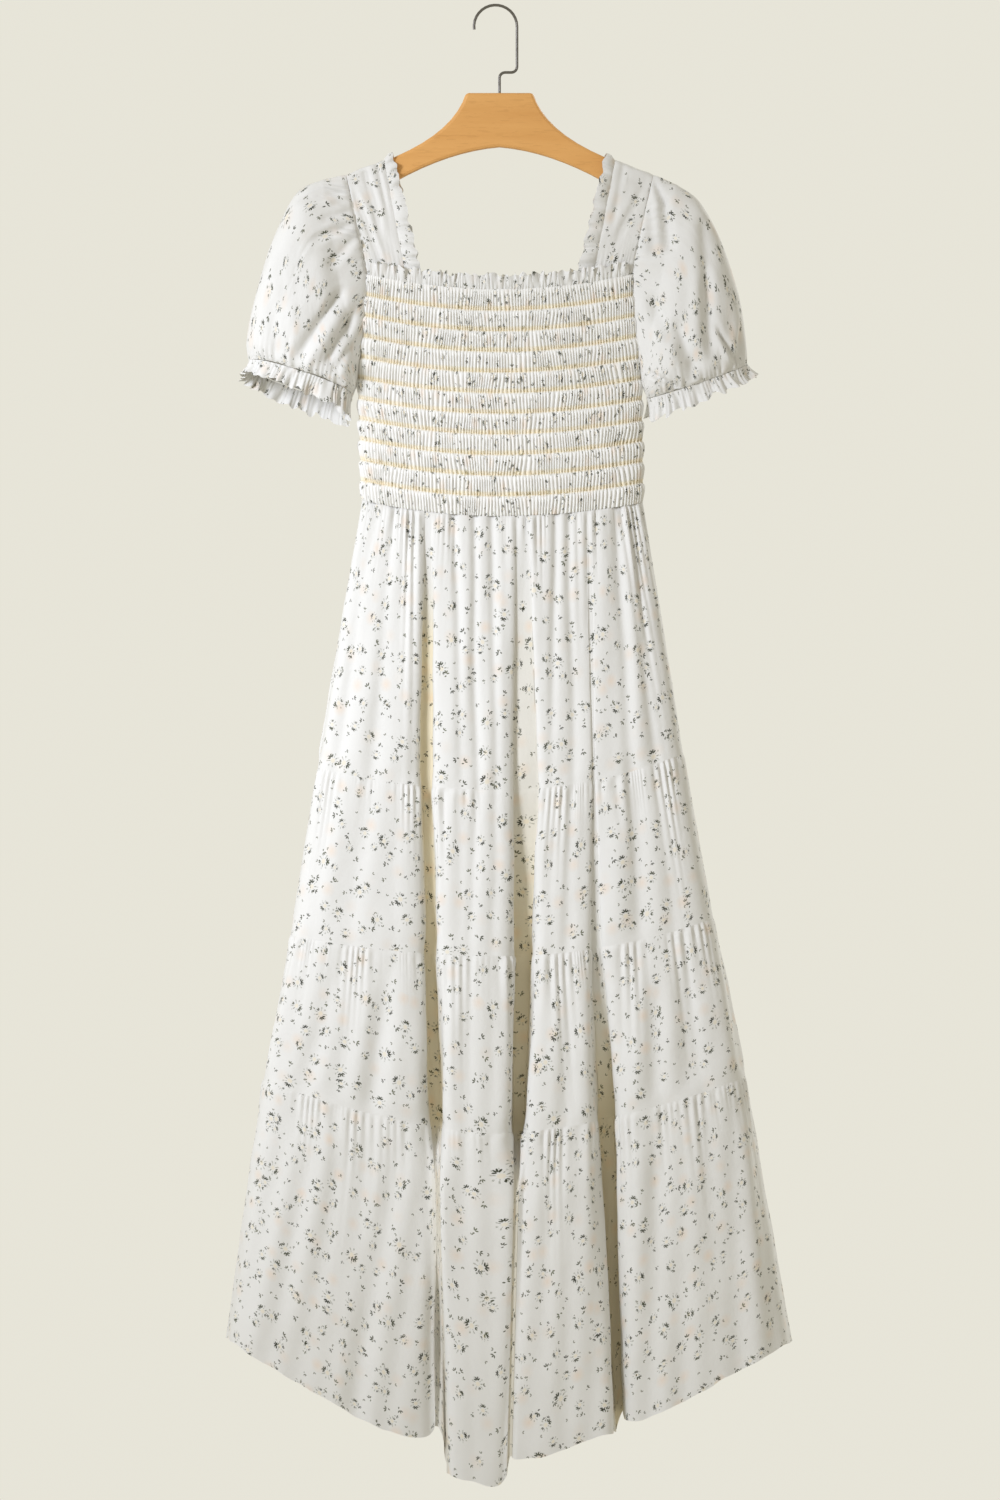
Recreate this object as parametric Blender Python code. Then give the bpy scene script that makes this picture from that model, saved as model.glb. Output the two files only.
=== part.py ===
"""A smocked maxi dress with puff sleeves, hanging on a wooden hanger, at real size.

Metres, +Z up, and the dress faces -Y. The origin is the inner top of the hanger's hook, where a rail
carries it. Every cloth piece is a wall: a grid of outer points, one row for each section, whose inner
side is the same grid moved in by the cloth's thickness. Pieces are parted by SEAM where they are sewn.
"""

import math
from collections import namedtuple

import bmesh
import bpy
from mathutils import Vector

# Cloth and seams
CLOTH = 0.0012
SMOCKED_CLOTH = 0.0026
SEAM = 0.0003

# The dress hangs this far to the right of the hook's centre
CENTRE_X = 0.004

# Hanger: a flat wooden bar with a straight top plate, and a cranked wire hook
WIRE = 0.0032
HOOK_RADIUS = 0.0215
HOOK_CRANK_Z = -0.0658
HOOK_TIP_DROP = 0.0030
CRANK_ROUND = 0.0055
PLATE_HALF = 0.0335
PLATE_TOP = -0.0865
# The curve from the plate's corner to the arm is drawn towards a point this far out and down from it
NECK_OUT = 0.011
NECK_DROP = 0.038
WOOD_THICK = 0.012
WOOD_ROUND = 0.003
ARM_X = 0.105
ARM_TOP_AT_X = -0.1505
ARM_UNDER_AT_X = -0.1755
ARM_SLOPE = 0.40
# Past the straps the arm bends further down to its tip
ARM_BEND_X = 0.1545
ARM_TIP_X = 0.176
ARM_TIP_SLOPE = 0.60
ARM_TIP_HEIGHT = 0.020
ARM_TIP_SWELL = 0.004
ARM_TIP_BACK = 0.003
ARCH_TOP = -0.1406
ARCH_FLAT_TO = 0.050
ARCH_RISE = 0.004

# Neckline, straps and armholes, measured from the dress's centre line
NECK_MID_Z = -0.2835
NECK_SAG = 0.015
PANEL_TOP_HALF = 0.1315
PANEL_ARMHOLE_HALF = 0.1360
PANEL_UNDERARM_HALF = 0.1415
ARMHOLE_DEPTH = 0.0146
ARMHOLE_LOW_DEPTH = 0.0120
STRAP_TOP_OUTER = 0.1535
STRAP_TOP_INNER = 0.1155
STRAP_LOW_INNER = 0.0925
ARM_CLEAR = 0.0008
STRAP_COLUMNS = 4
STRAP_STEPS = 3
STRAP_RUFFLE_WIDTH = 0.0115
STRAP_RUFFLE_START = 0.20
# The armhole's points on the bodice, in stitch lines
ARMHOLE_POINTS = (0.6, 1.5, 3, 4)

# Smocked bodice: 11 bands between stitch lines, over the bodice's whole width
BANDS = 11
ARMHOLE_LINE = 3
UNDERARM_LINE = 5
BAND_CREST = 0.0022
BAND_CREST_AT = 0.35
RIB = 0.0005
SMOCK_COLUMNS = 44
# 0 spaces the columns evenly and 1 packs them fully towards the sides
SIDE_PACKING = 0.35
BODICE_POWER = 2.4
BODICE_DEPTH_TOP = 0.020

# Ruffles
NECK_RUFFLE_HEIGHT = 0.0155
NECK_RUFFLE_HALF = 0.0905
NECK_RUFFLE_LEAN = 0.0012
NECK_RUFFLE_WAVES = 16
NECK_RUFFLE_WAVE = 0.0030
STRAP_RUFFLE_WAVES = 10
STRAP_RUFFLE_WAVE = 0.0018
CUFF_RUFFLE_LENGTH = 0.019
CUFF_RUFFLE_WAVES = 14
CUFF_RUFFLE_WAVE = 0.0032
CUFF_FLARE = 1.10
COLUMNS_A_WAVE = 4

# Ribs and gathers fade out over this many columns at a side seam
FADE_COLUMNS = 3

# Skirt: every tier has the same columns, so a gather runs through the seam
LOBE_POWER = 3.0
GATHER_COLUMNS = 4
GATHER = 0.0028
GATHER_FULL_AT = 0.020
GATHER_FADE = 0.090
TIER_ROWS = (0.0, 0.09, 0.40, 1.0)
# The hem's lifts set in from the last seam down, slowly at first
LIFT_FROM = 3.0
LIFT_POWER = 1.5
LIFT_ACROSS = 2.0

# Each level is a seam or an edge of the skirt: its two side points, its height at the left, the middle
# and the right, the power of the curve between them, and how far the valleys' floors and the folds
# stand out from the middle plane, in front and behind.
Level = namedtuple(
    "Level", "name left right z_left z_mid z_right arch floor fold back_floor back_fold"
)
LEVELS = (
    Level("waist", -0.1375, 0.1435, -0.494, -0.510, -0.496, 2.0, 0.024, 0.000, 0.022, 0.000),
    Level("seam_1", -0.1815, 0.1835, -0.761, -0.783, -0.747, 2.0, 0.022, 0.026, 0.020, 0.018),
    Level("seam_2", -0.2085, 0.2135, -0.928, -0.948, -0.911, 2.0, 0.020, 0.040, 0.018, 0.028),
    Level("seam_3", -0.2355, 0.2455, -1.072, -1.124, -1.069, 1.6, 0.020, 0.052, 0.018, 0.036),
    Level("hem", -0.2715, 0.2905, -1.330, -1.472, -1.334, 1.3, 0.020, 0.062, 0.018, 0.044),
)

# Each valley is a deep fold between two standing folds: its place at each level and its width there.
Valley = namedtuple("Valley", "name x gap")
FRONT_VALLEYS = (
    Valley("left", (-0.0700, -0.0730, -0.0695, -0.0630, -0.0545), (0.004, 0.010, 0.012, 0.012, 0.007)),
    Valley("middle", (0.0240, 0.0285, 0.0240, 0.0180, 0.0115), (0.020, 0.019, 0.017, 0.011, 0.007)),
    Valley("right", (0.0880, 0.0930, 0.0940, 0.1055, 0.1230), (0.004, 0.008, 0.012, 0.018, 0.014)),
)
BACK_VALLEYS = (
    Valley("left", (-0.0800, -0.0980, -0.1080, -0.1180, -0.1300), (0.004, 0.010, 0.012, 0.014, 0.012)),
    Valley("middle", (-0.0050, -0.0120, -0.0180, -0.0220, -0.0200), (0.004, 0.012, 0.012, 0.010, 0.009)),
    Valley("right", (0.0720, 0.0820, 0.0920, 0.1000, 0.1120), (0.004, 0.009, 0.012, 0.014, 0.014)),
)

# Each standing fold lies between two valleys, or a valley and a side: its columns, its share of the
# level's fold depth, and how far its hem is lifted at its two ends.
Lobe = namedtuple("Lobe", "name columns share lift_left lift_right")
FRONT_LOBES = (
    Lobe("left", 15, 0.80, 0.000, 0.028),
    Lobe("mid_left", 9, 1.00, -0.003, -0.002),
    Lobe("mid_right", 9, 0.94, 0.022, 0.013),
    Lobe("right", 12, 0.84, 0.013, 0.000),
)
BACK_LOBES = (
    Lobe("left", 12, 0.85, 0.000, 0.018),
    Lobe("mid_left", 11, 1.00, 0.024, 0.034),
    Lobe("mid_right", 11, 0.95, 0.034, 0.026),
    Lobe("right", 11, 0.85, 0.022, 0.000),
)

# Each section of a sleeve runs from its top point to its underarm point, and stands this far out to the
# front and the back. The armhole itself comes from the strap and the bodice.
Section = namedtuple("Section", "name top_x top_z under_x under_z depth")
SLEEVE_SECTIONS = {
    "left": (
        Section("cap", 0.1770, -0.1735, 0.1424, -0.3775, 0.027),
        Section("shoulder", 0.2035, -0.1875, 0.1432, -0.3800, 0.036),
        Section("upper", 0.2270, -0.2350, 0.1442, -0.3825, 0.041),
        Section("middle", 0.2440, -0.2900, 0.1452, -0.3850, 0.042),
        Section("lower", 0.2525, -0.3350, 0.1462, -0.3875, 0.038),
        Section("cuff", 0.2500, -0.3570, 0.1475, -0.3905, 0.031),
    ),
    "right": (
        Section("cap", 0.1770, -0.1785, 0.1424, -0.3775, 0.027),
        Section("shoulder", 0.2005, -0.1960, 0.1432, -0.3800, 0.036),
        Section("upper", 0.2215, -0.2350, 0.1442, -0.3825, 0.041),
        Section("middle", 0.2395, -0.2900, 0.1452, -0.3850, 0.042),
        Section("lower", 0.2465, -0.3350, 0.1462, -0.3875, 0.038),
        Section("cuff", 0.2475, -0.3570, 0.1475, -0.3905, 0.031),
    ),
}
SLEEVE_POWER = 3.2
SLEEVE_PLEATS = 6
SLEEVE_PLEAT = 0.0022
# The sections whose pleats stand out in full; the others' stand out by half
FULL_PLEATS = ("cap", "lower")
# How far the front rim of the cuff stands above its middle
CUFF_TILT = {"left": 0.009, "right": -0.004}


def clear_scene():
    for thing in list(bpy.data.objects):
        bpy.data.objects.remove(thing, do_unlink=True)


def material(name, colour, roughness, metallic=0.0):
    made = bpy.data.materials.new(name)
    made.use_nodes = True
    shader = made.node_tree.nodes["Principled BSDF"]
    shader.inputs["Base Color"].default_value = (*colour, 1.0)
    shader.inputs["Roughness"].default_value = roughness
    shader.inputs["Metallic"].default_value = metallic
    return made


def add_object(name, data, finish):
    thing = bpy.data.objects.new(name, data)
    thing.data.materials.append(finish)
    bpy.context.scene.collection.objects.link(thing)
    return thing


def lerp(a, b, share):
    return a + (b - a) * share


def signed_power(value, power):
    return math.copysign(abs(value) ** power, value)


def along(table, position):
    """The value of a table with one entry a level, at a position counted in levels."""
    low = min(int(position), len(table) - 2)
    return lerp(table[low], table[low + 1], position - low)


# Walls of cloth

def normals_of(grid, ring):
    """Outward normals of a grid whose rows run down and whose columns run left to right in front."""
    rows, columns = len(grid), len(grid[0])
    out = []
    for r in range(rows):
        line = []
        for c in range(columns):
            above, below = grid[max(r - 1, 0)][c], grid[min(r + 1, rows - 1)][c]
            before = grid[r][(c - 1) % columns if ring else max(c - 1, 0)]
            after = grid[r][(c + 1) % columns if ring else min(c + 1, columns - 1)]
            line.append((below - above).cross(after - before).normalized())
        out.append(line)
    return out


def moved_in(grid, distance, ring=False):
    normals = normals_of(grid, ring)
    return [[p - n * distance for p, n in zip(*lines)] for lines in zip(grid, normals)]


def keep_apart(grid, side):
    """Keeps a front grid (side -1) or a back grid (side 1) half a seam from the middle plane."""
    for line in grid:
        for point in line:
            point.y = side * max(side * point.y, SEAM / 2)
    return grid


def wall(name, outer, inner, finish, ring=False, inner_rows=None):
    """A closed wall between an outer and an inner grid, both cut along the same diagonals. inner_rows
    are the outer rows that the inner grid's rows lie under, where it has fewer of them."""
    columns = len(outer[0])
    inner_rows = inner_rows or list(range(len(outer)))
    mesh = bmesh.new()
    out = [[mesh.verts.new(p) for p in line] for line in outer]
    into = [[mesh.verts.new(p) for p in line] for line in inner]
    spans = [(c, (c + 1) % columns) for c in range(columns if ring else columns - 1)]
    for a, b in spans:
        for upper, lower in zip(out, out[1:]):
            mesh.faces.new((upper[a], lower[a], lower[b]))
            mesh.faces.new((upper[a], lower[b], upper[b]))
        for upper, lower in zip(into, into[1:]):
            mesh.faces.new((lower[b], lower[a], upper[a]))
            mesh.faces.new((upper[b], lower[b], upper[a]))
        mesh.faces.new((out[0][b], into[0][b], into[0][a], out[0][a]))
        mesh.faces.new((out[-1][a], into[-1][a], into[-1][b], out[-1][b]))
    if not ring:
        for i, (first, last) in enumerate(zip(inner_rows, inner_rows[1:])):
            down = [out[r][0] for r in range(first, last + 1)]
            mesh.faces.new([into[i][0], into[i + 1][0], *reversed(down)])
            down = [out[r][-1] for r in range(first, last + 1)]
            mesh.faces.new([into[i + 1][-1], into[i][-1], *down])
    data = bpy.data.meshes.new(name)
    mesh.to_mesh(data)
    mesh.free()
    data.shade_smooth()
    data.set_sharp_from_angle(angle=math.radians(50))
    return add_object(name, data, finish)


# Hanger

def quadratic(start, control, end, steps):
    """Points of a quadratic curve, without its last one."""
    points = []
    for i in range(steps):
        t = i / steps
        points.append(
            tuple(
                (1 - t) ** 2 * a + 2 * t * (1 - t) * b + t * t * c
                for a, b, c in zip(start, control, end)
            )
        )
    return points


def arm_top(x):
    """Height of the arm's top edge up to its bend, x from the hanger's centre."""
    return ARM_TOP_AT_X - ARM_SLOPE * (abs(x) - ARM_X)


def hanger_bar(finish):
    """The flat bar: its right half outline, clockwise from the top, mirrored and extruded."""
    corner = (PLATE_HALF, PLATE_TOP)
    neck = (PLATE_HALF + NECK_OUT, PLATE_TOP - NECK_DROP)
    arm = (ARM_X, ARM_TOP_AT_X)
    bend = (ARM_BEND_X, arm_top(ARM_BEND_X))
    tip_top = (ARM_TIP_X, bend[1] - ARM_TIP_SLOPE * (ARM_TIP_X - ARM_BEND_X))
    tip_under = (ARM_TIP_X - ARM_TIP_BACK, tip_top[1] - ARM_TIP_HEIGHT)
    under = (ARM_X, ARM_UNDER_AT_X)
    right = quadratic(corner, neck, arm, 8) + [arm, bend, tip_top]
    right += [(ARM_TIP_X + ARM_TIP_SWELL, tip_top[1] - ARM_TIP_HEIGHT / 2), tip_under]
    right += quadratic(under, (ARCH_FLAT_TO, ARCH_TOP - ARCH_RISE), (0.0, ARCH_TOP), 8)
    left = [(-x, z) for x, z in reversed(right)]
    outline = right + [(0.0, ARCH_TOP)] + left
    mesh = bmesh.new()
    half = WOOD_THICK / 2
    front = mesh.faces.new([mesh.verts.new((CENTRE_X + x, -half, z)) for x, z in outline])
    grown = bmesh.ops.extrude_face_region(mesh, geom=[front])
    moved = [v for v in grown["geom"] if isinstance(v, bmesh.types.BMVert)]
    bmesh.ops.translate(mesh, verts=moved, vec=(0, WOOD_THICK, 0))
    bmesh.ops.recalc_face_normals(mesh, faces=mesh.faces[:])
    data = bpy.data.meshes.new("hanger_bar")
    mesh.to_mesh(data)
    mesh.free()
    bar = add_object("hanger_bar", data, finish)
    edge = bar.modifiers.new("rounded_edges", "BEVEL")
    edge.width = WOOD_ROUND
    edge.segments = 2
    edge.limit_method = "ANGLE"
    edge.angle_limit = math.radians(60)
    data.shade_smooth()
    data.set_sharp_from_angle(angle=math.radians(40))
    return bar


def arc(centre, radius, start, end, steps):
    """Points of an arc in the XZ plane, angles in degrees from +X."""
    turn = [math.radians(lerp(start, end, i / steps)) for i in range(steps + 1)]
    return [(centre[0] + radius * math.cos(t), centre[1] + radius * math.sin(t)) for t in turn]


def hanger_hook(finish):
    """Wire from the tip, over the arc, down, across the crank and into the plate's top."""
    top = WIRE / 2 - HOOK_RADIUS
    tip_angle = 180 + math.degrees(math.asin(HOOK_TIP_DROP / HOOK_RADIUS))
    path = arc((0, top), HOOK_RADIUS, tip_angle, 0, 16)
    crank_out = (HOOK_RADIUS - CRANK_ROUND, HOOK_CRANK_Z + CRANK_ROUND)
    crank_in = (CENTRE_X + CRANK_ROUND, HOOK_CRANK_Z - CRANK_ROUND)
    path += arc(crank_out, CRANK_ROUND, 0, -90, 4)
    path += arc(crank_in, CRANK_ROUND, 90, 180, 4)
    path.append((CENTRE_X, PLATE_TOP + SEAM))
    curve = bpy.data.curves.new("hanger_hook", "CURVE")
    curve.dimensions = "3D"
    curve.bevel_depth = WIRE / 2
    curve.bevel_resolution = 1
    curve.use_fill_caps = True
    line = curve.splines.new("POLY")
    line.points.add(len(path) - 1)
    for point, (x, z) in zip(line.points, path):
        point.co = (x, 0, z, 1)
    return add_object("hanger_hook", curve, finish)


# Bodice

def bodice_shape(n, power=BODICE_POWER):
    """How far a section stands out at n, from 0 at the sides (-1 and 1) to 1 in the middle."""
    return max(0.0, 1 - abs(n) ** power) ** (1 / power)


def spread_columns(count):
    """n from -1 to 1, closer together towards the sides, where the section turns."""
    places = []
    for i in range(count + 1):
        places.append(lerp(2 * i / count - 1, -math.cos(math.pi * i / count), SIDE_PACKING))
    return places


def stitch_line_z(line, n):
    """Height of a stitch line, 0 at the neck edge and BANDS at the waist seam."""
    waist = LEVELS[0]
    share = line / BANDS
    mid = lerp(NECK_MID_Z, waist.z_mid, share)
    neck_side = NECK_MID_Z + NECK_SAG
    side = lerp(neck_side, waist.z_left if n < 0 else waist.z_right, share)
    return lerp(mid, side, n * n)


def bodice_edge(line):
    """Half width and edge depth of the bodice at a stitch line, between the named lines."""
    rows = (
        (0, PANEL_TOP_HALF, PANEL_TOP_HALF, ARMHOLE_DEPTH),
        (ARMHOLE_LINE, PANEL_ARMHOLE_HALF, PANEL_ARMHOLE_HALF, ARMHOLE_LOW_DEPTH),
        (UNDERARM_LINE, PANEL_UNDERARM_HALF, PANEL_UNDERARM_HALF, SEAM / 2),
        (BANDS, -LEVELS[0].left, LEVELS[0].right, SEAM / 2),
    )
    for above, below in zip(rows, rows[1:]):
        if line <= below[0]:
            share = (line - above[0]) / (below[0] - above[0])
            return tuple(lerp(a, b, share) for a, b in zip(above[1:], below[1:]))
    return rows[-1][1:]


def bodice_point(line, n, side):
    """A point of the bodice's base surface. side is -1 in front and 1 behind."""
    left, right, edge = bodice_edge(line)
    waist_depth = LEVELS[0].floor if side < 0 else LEVELS[0].back_floor
    depth = lerp(BODICE_DEPTH_TOP, waist_depth, line / BANDS)
    y = edge + (depth - edge) * bodice_shape(n)
    return Vector((CENTRE_X + n * (left if n < 0 else right), side * y, stitch_line_z(line, n)))


def smocked_panel(name, side, finish):
    """A smocked panel: bands that swell between the stitch lines, ribbed by their gathers, over a plain
    inside."""
    columns = spread_columns(SMOCK_COLUMNS)
    if side > 0:
        columns = columns[::-1]
    lines = [line + part for line in range(BANDS) for part in (0, BAND_CREST_AT)] + [BANDS]
    base = [[bodice_point(line, n, side) for n in columns] for line in lines]
    normals = normals_of(base, False)
    outer = []
    for r, (points, outward) in enumerate(zip(base, normals)):
        swell = BAND_CREST if r % 2 else 0.0
        ribs = [RIB if c % 2 else -RIB for c in range(len(points))]
        if r in (0, len(base) - 1):
            ribs = [0.0] * len(points)
        last = len(points) - 1
        fade = [min(c, last - c, FADE_COLUMNS) / FADE_COLUMNS for c in range(len(points))]
        outer.append([p + n * (swell + rib) * f for p, n, rib, f in zip(points, outward, ribs, fade)])
    inner_lines = [0, ARMHOLE_LINE, UNDERARM_LINE, BANDS]
    plain = [[bodice_point(line, n, side) for n in columns] for line in inner_lines]
    inner = keep_apart(moved_in(plain, SMOCKED_CLOTH), side)
    rows = [2 * line for line in inner_lines]
    return wall(name, keep_apart(outer, side), inner, finish, inner_rows=rows)


def neck_ruffle(name, side, finish):
    """The ruffled heading that stands on the panel's neck edge and leans outwards."""
    count = NECK_RUFFLE_WAVES * COLUMNS_A_WAVE
    outer = []
    for height in (NECK_RUFFLE_HEIGHT, 0.0):
        share = height / NECK_RUFFLE_HEIGHT
        line = []
        for i in range(count + 1):
            n = side * (1 - 2 * i / count) * NECK_RUFFLE_HALF / PANEL_TOP_HALF
            wave = math.sin(2 * math.pi * i / COLUMNS_A_WAVE)
            out = share * (NECK_RUFFLE_LEAN + NECK_RUFFLE_WAVE * (1 + wave))
            foot = bodice_point(0, n, side)
            line.append(foot + Vector((0, side * out, SEAM + height)))
        outer.append(line)
    return wall(name, outer, moved_in(outer, CLOTH), finish)


# Straps

def strap_line(x_low, x_top, start, steps):
    """A line along a strap for x > 0, from its back foot on the panel's neck edge, over the hanger's arm
    and down to its front foot. start is the share of the rise where the line begins."""
    n = x_low / PANEL_TOP_HALF
    foot_z = stitch_line_z(0, n) + SEAM
    foot_y = bodice_point(0, n, 1).y - CLOTH - SEAM / 3
    reach = WOOD_ROUND + ARM_CLEAR + CLOTH
    corner_y = WOOD_THICK / 2 - WOOD_ROUND
    corner_z = arm_top(x_top) - WOOD_ROUND
    turns = [math.radians(a) for a in (90, 45, 0)]
    over = [(corner_y + reach * math.sin(t), corner_z + reach * math.cos(t)) for t in turns]
    shares = [lerp(start, 1.0, i / steps) for i in range(steps)]
    rise = [(lerp(foot_y, over[0][0], s), lerp(foot_z, over[0][1], s)) for s in shares]
    top = over[-1][1]
    back = [Vector((lerp(x_low, x_top, (z - foot_z) / (top - foot_z)), y, z)) for y, z in rise + over]
    return back + [Vector((p.x, -p.y, p.z)) for p in reversed(back)]


def strap_edge_line(share, start=0.0, steps=STRAP_STEPS, beyond=0.0):
    """A line of the strap between its neck edge (0) and its armhole edge (1), moved beyond the neck
    edge by a distance."""
    low = lerp(STRAP_LOW_INNER, PANEL_TOP_HALF, share) - beyond
    top = lerp(STRAP_TOP_INNER, STRAP_TOP_OUTER, share) - beyond
    return strap_line(low, top, start, steps)


def on_side(rows, hand):
    """Puts rows made for x > 0 on the dress's right (hand 1) or left (hand -1), outward side out."""
    placed = [[Vector((CENTRE_X + hand * p.x, p.y, p.z)) for p in line] for line in rows]
    return placed if hand > 0 else placed[::-1]


def strap(name, hand, finish):
    lines = [strap_edge_line(i / STRAP_COLUMNS) for i in range(STRAP_COLUMNS + 1)]
    outer = on_side(zip(*lines), hand)
    return wall(name, outer, moved_in(outer, CLOTH), finish)


def strap_ruffle(name, hand, finish):
    """A narrow ruffle along the strap's neck edge, over the shoulder and down the back."""
    steps = STRAP_RUFFLE_WAVES * COLUMNS_A_WAVE // 2
    free = strap_edge_line(0.0, STRAP_RUFFLE_START, steps, STRAP_RUFFLE_WIDTH)
    sewn = strap_edge_line(0.0, STRAP_RUFFLE_START, steps, SEAM)
    rows = [list(pair) for pair in zip(free, sewn)]
    outward = normals_of(rows, False)
    last = len(rows) - 1
    for i, line in enumerate(rows):
        wave = math.sin(2 * math.pi * i / COLUMNS_A_WAVE)
        fade = min(1.0, i / COLUMNS_A_WAVE, (last - i) / COLUMNS_A_WAVE)
        line[0] = line[0] + outward[i][0] * (STRAP_RUFFLE_WAVE * (1 + wave) * fade)
    outer = on_side(rows, hand)
    return wall(name, outer, moved_in(outer, CLOTH), finish)


# Sleeves

def armhole():
    """Front half of the armhole on the right, from the top of the arm down to the underarm."""
    strap_edge = strap_edge_line(1.0)
    down = strap_edge[len(strap_edge) // 2:]
    down += [bodice_point(line, 1.0, -1) - Vector((CENTRE_X, 0, 0)) for line in ARMHOLE_POINTS]
    return down


def sleeve_rings(sections):
    """Closed rings of a sleeve on the right: front columns from the top down, the underarm, then the
    back columns up."""
    front = armhole()
    spans = [0.0]
    for a, b in zip(front, front[1:]):
        spans.append(spans[-1] + (b - a).length)
    under = bodice_point(UNDERARM_LINE, 1.0, -1) - Vector((CENTRE_X, 0, 0))
    total = spans[-1] + (under - front[-1]).length
    start = abs(front[0].y)
    shares = [(start + s) / (start + total) for s in spans]
    offset = Vector((SEAM, 0, 0))
    first = [p + offset for p in front]
    first += [Vector((under.x + SEAM, 0, under.z - SEAM))]
    first += [Vector((p.x, -p.y, p.z)) for p in reversed(first[:-1])]
    return [first] + [section_ring(section, shares) for section in sections]


def section_ring(section, shares):
    """One closed ring of a sleeve, as a flattened oval with shallow pleats."""
    top = Vector((section.top_x, 0, section.top_z))
    under = Vector((section.under_x, 0, section.under_z))
    ring = []
    for share in [*shares, 1.0, *reversed(shares)]:
        angle = math.pi * share
        depth = section.depth * max(0.0, math.sin(angle)) ** (2 / SLEEVE_POWER)
        point = top.lerp(under, (1 - math.cos(angle)) / 2)
        pleat = math.cos(2 * math.pi * SLEEVE_PLEATS * share) * SLEEVE_PLEAT
        fade = math.sin(angle) * (1.0 if section.name in FULL_PLEATS else 0.5)
        ring.append(point + Vector((0, -(depth + pleat * fade), 0)))
    for p in ring[len(shares) + 1:]:
        p.y = -p.y
    ring[len(shares)] = under
    return ring


def tilted(ring, tilt, depth):
    """A cuff ring with its front rim raised by tilt and its back rim lowered."""
    return [Vector((p.x, p.y, p.z - tilt * p.y / depth)) for p in ring]


def sleeve(name, hand, finish):
    word = "right" if hand > 0 else "left"
    tilt = CUFF_TILT[word]
    sections = SLEEVE_SECTIONS[word]
    rings = sleeve_rings(sections)
    count = len(sections)
    for i, section in enumerate(sections):
        rings[i + 1] = tilted(rings[i + 1], tilt * ((i + 1) / count) ** 3, section.depth)
    outer = on_side([line[::-1] for line in rings], hand)
    return wall(name, outer, moved_in(outer, CLOTH, ring=True), finish, ring=True)


def cuff_ruffle(name, hand, finish):
    """The ruffle below the cuff's elastic: a flared, waved ring."""
    word = "right" if hand > 0 else "left"
    section = SLEEVE_SECTIONS[word][-1]
    tilt = CUFF_TILT[word]
    top = Vector((section.top_x, 0, section.top_z))
    under = Vector((section.under_x, 0, section.under_z))
    middle = (top + under) / 2
    chord = (top - under).normalized()
    down = Vector((0, -1, 0)).cross(chord)
    down = down if down.z < 0 else -down
    count = CUFF_RUFFLE_WAVES * COLUMNS_A_WAVE
    rings = []
    for share in (0.0, 1.0):
        ring = []
        for i in range(count):
            angle = 2 * math.pi * i / count
            wave = math.sin(2 * math.pi * i / COLUMNS_A_WAVE) * CUFF_RUFFLE_WAVE * share
            flare = lerp(1.0, CUFF_FLARE, share)
            reach = (top - under).length / 2 * flare + wave
            depth = section.depth * flare + wave
            ring.append(
                middle
                + chord * reach * math.cos(angle)
                + Vector((0, -depth * signed_power(math.sin(angle), 2 / SLEEVE_POWER), 0))
                + down * (SEAM + CUFF_RUFFLE_LENGTH * share)
            )
        rings.append(tilted(ring, tilt, section.depth))
    outer = on_side([line[::-1] for line in rings], hand)
    return wall(name, outer, moved_in(outer, CLOTH, ring=True), finish, ring=True)


# Skirt

def level_value(name, position):
    return along([getattr(level, name) for level in LEVELS], position)


def skirt_point(position, x, bulge, lift, side):
    """A point of the skirt at a level position, x from the centre line; bulge is how far its fold stands
    out beyond the valleys' floor, and lift how far its hem is lifted."""
    left, right = level_value("left", position), level_value("right", position)
    n = max(-1.0, min(1.0, x / (-left if x < 0 else right)))
    floor = level_value("floor" if side < 0 else "back_floor", position)
    mid = level_value("z_mid", position)
    edge = level_value("z_left" if x < 0 else "z_right", position)
    z = lerp(mid, edge, abs(n) ** level_value("arch", position))
    z += lift * max(0.0, position - LIFT_FROM) ** LIFT_POWER
    y = max(floor * bodice_shape(n) + bulge, SEAM / 2)
    return Vector((CENTRE_X + x, side * y, z))


def section_columns(position, side):
    """(x, bulge, lift) of every column of a section, left to right: each standing fold is half a rounded
    oval between its valleys."""
    valleys = FRONT_VALLEYS if side < 0 else BACK_VALLEYS
    lobes = FRONT_LOBES if side < 0 else BACK_LOBES
    fold = level_value("fold" if side < 0 else "back_fold", position)
    edges = [level_value("left", position)]
    for valley in valleys:
        x, gap = along(valley.x, position), along(valley.gap, position)
        edges += [x - gap / 2, x + gap / 2]
    edges.append(level_value("right", position))
    columns = []
    for lobe, start, end in zip(lobes, edges[::2], edges[1::2]):
        for i in range(lobe.columns + 1):
            angle = math.pi * (1 - i / lobe.columns)
            reach = signed_power(math.cos(angle), 2 / LOBE_POWER)
            out = max(0.0, math.sin(angle)) ** (2 / LOBE_POWER)
            lift = lerp(lobe.lift_left, lobe.lift_right, (i / lobe.columns) ** LIFT_ACROSS)
            columns.append((lerp(start, end, (1 + reach) / 2), fold * lobe.share * out, lift))
    return columns


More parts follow.
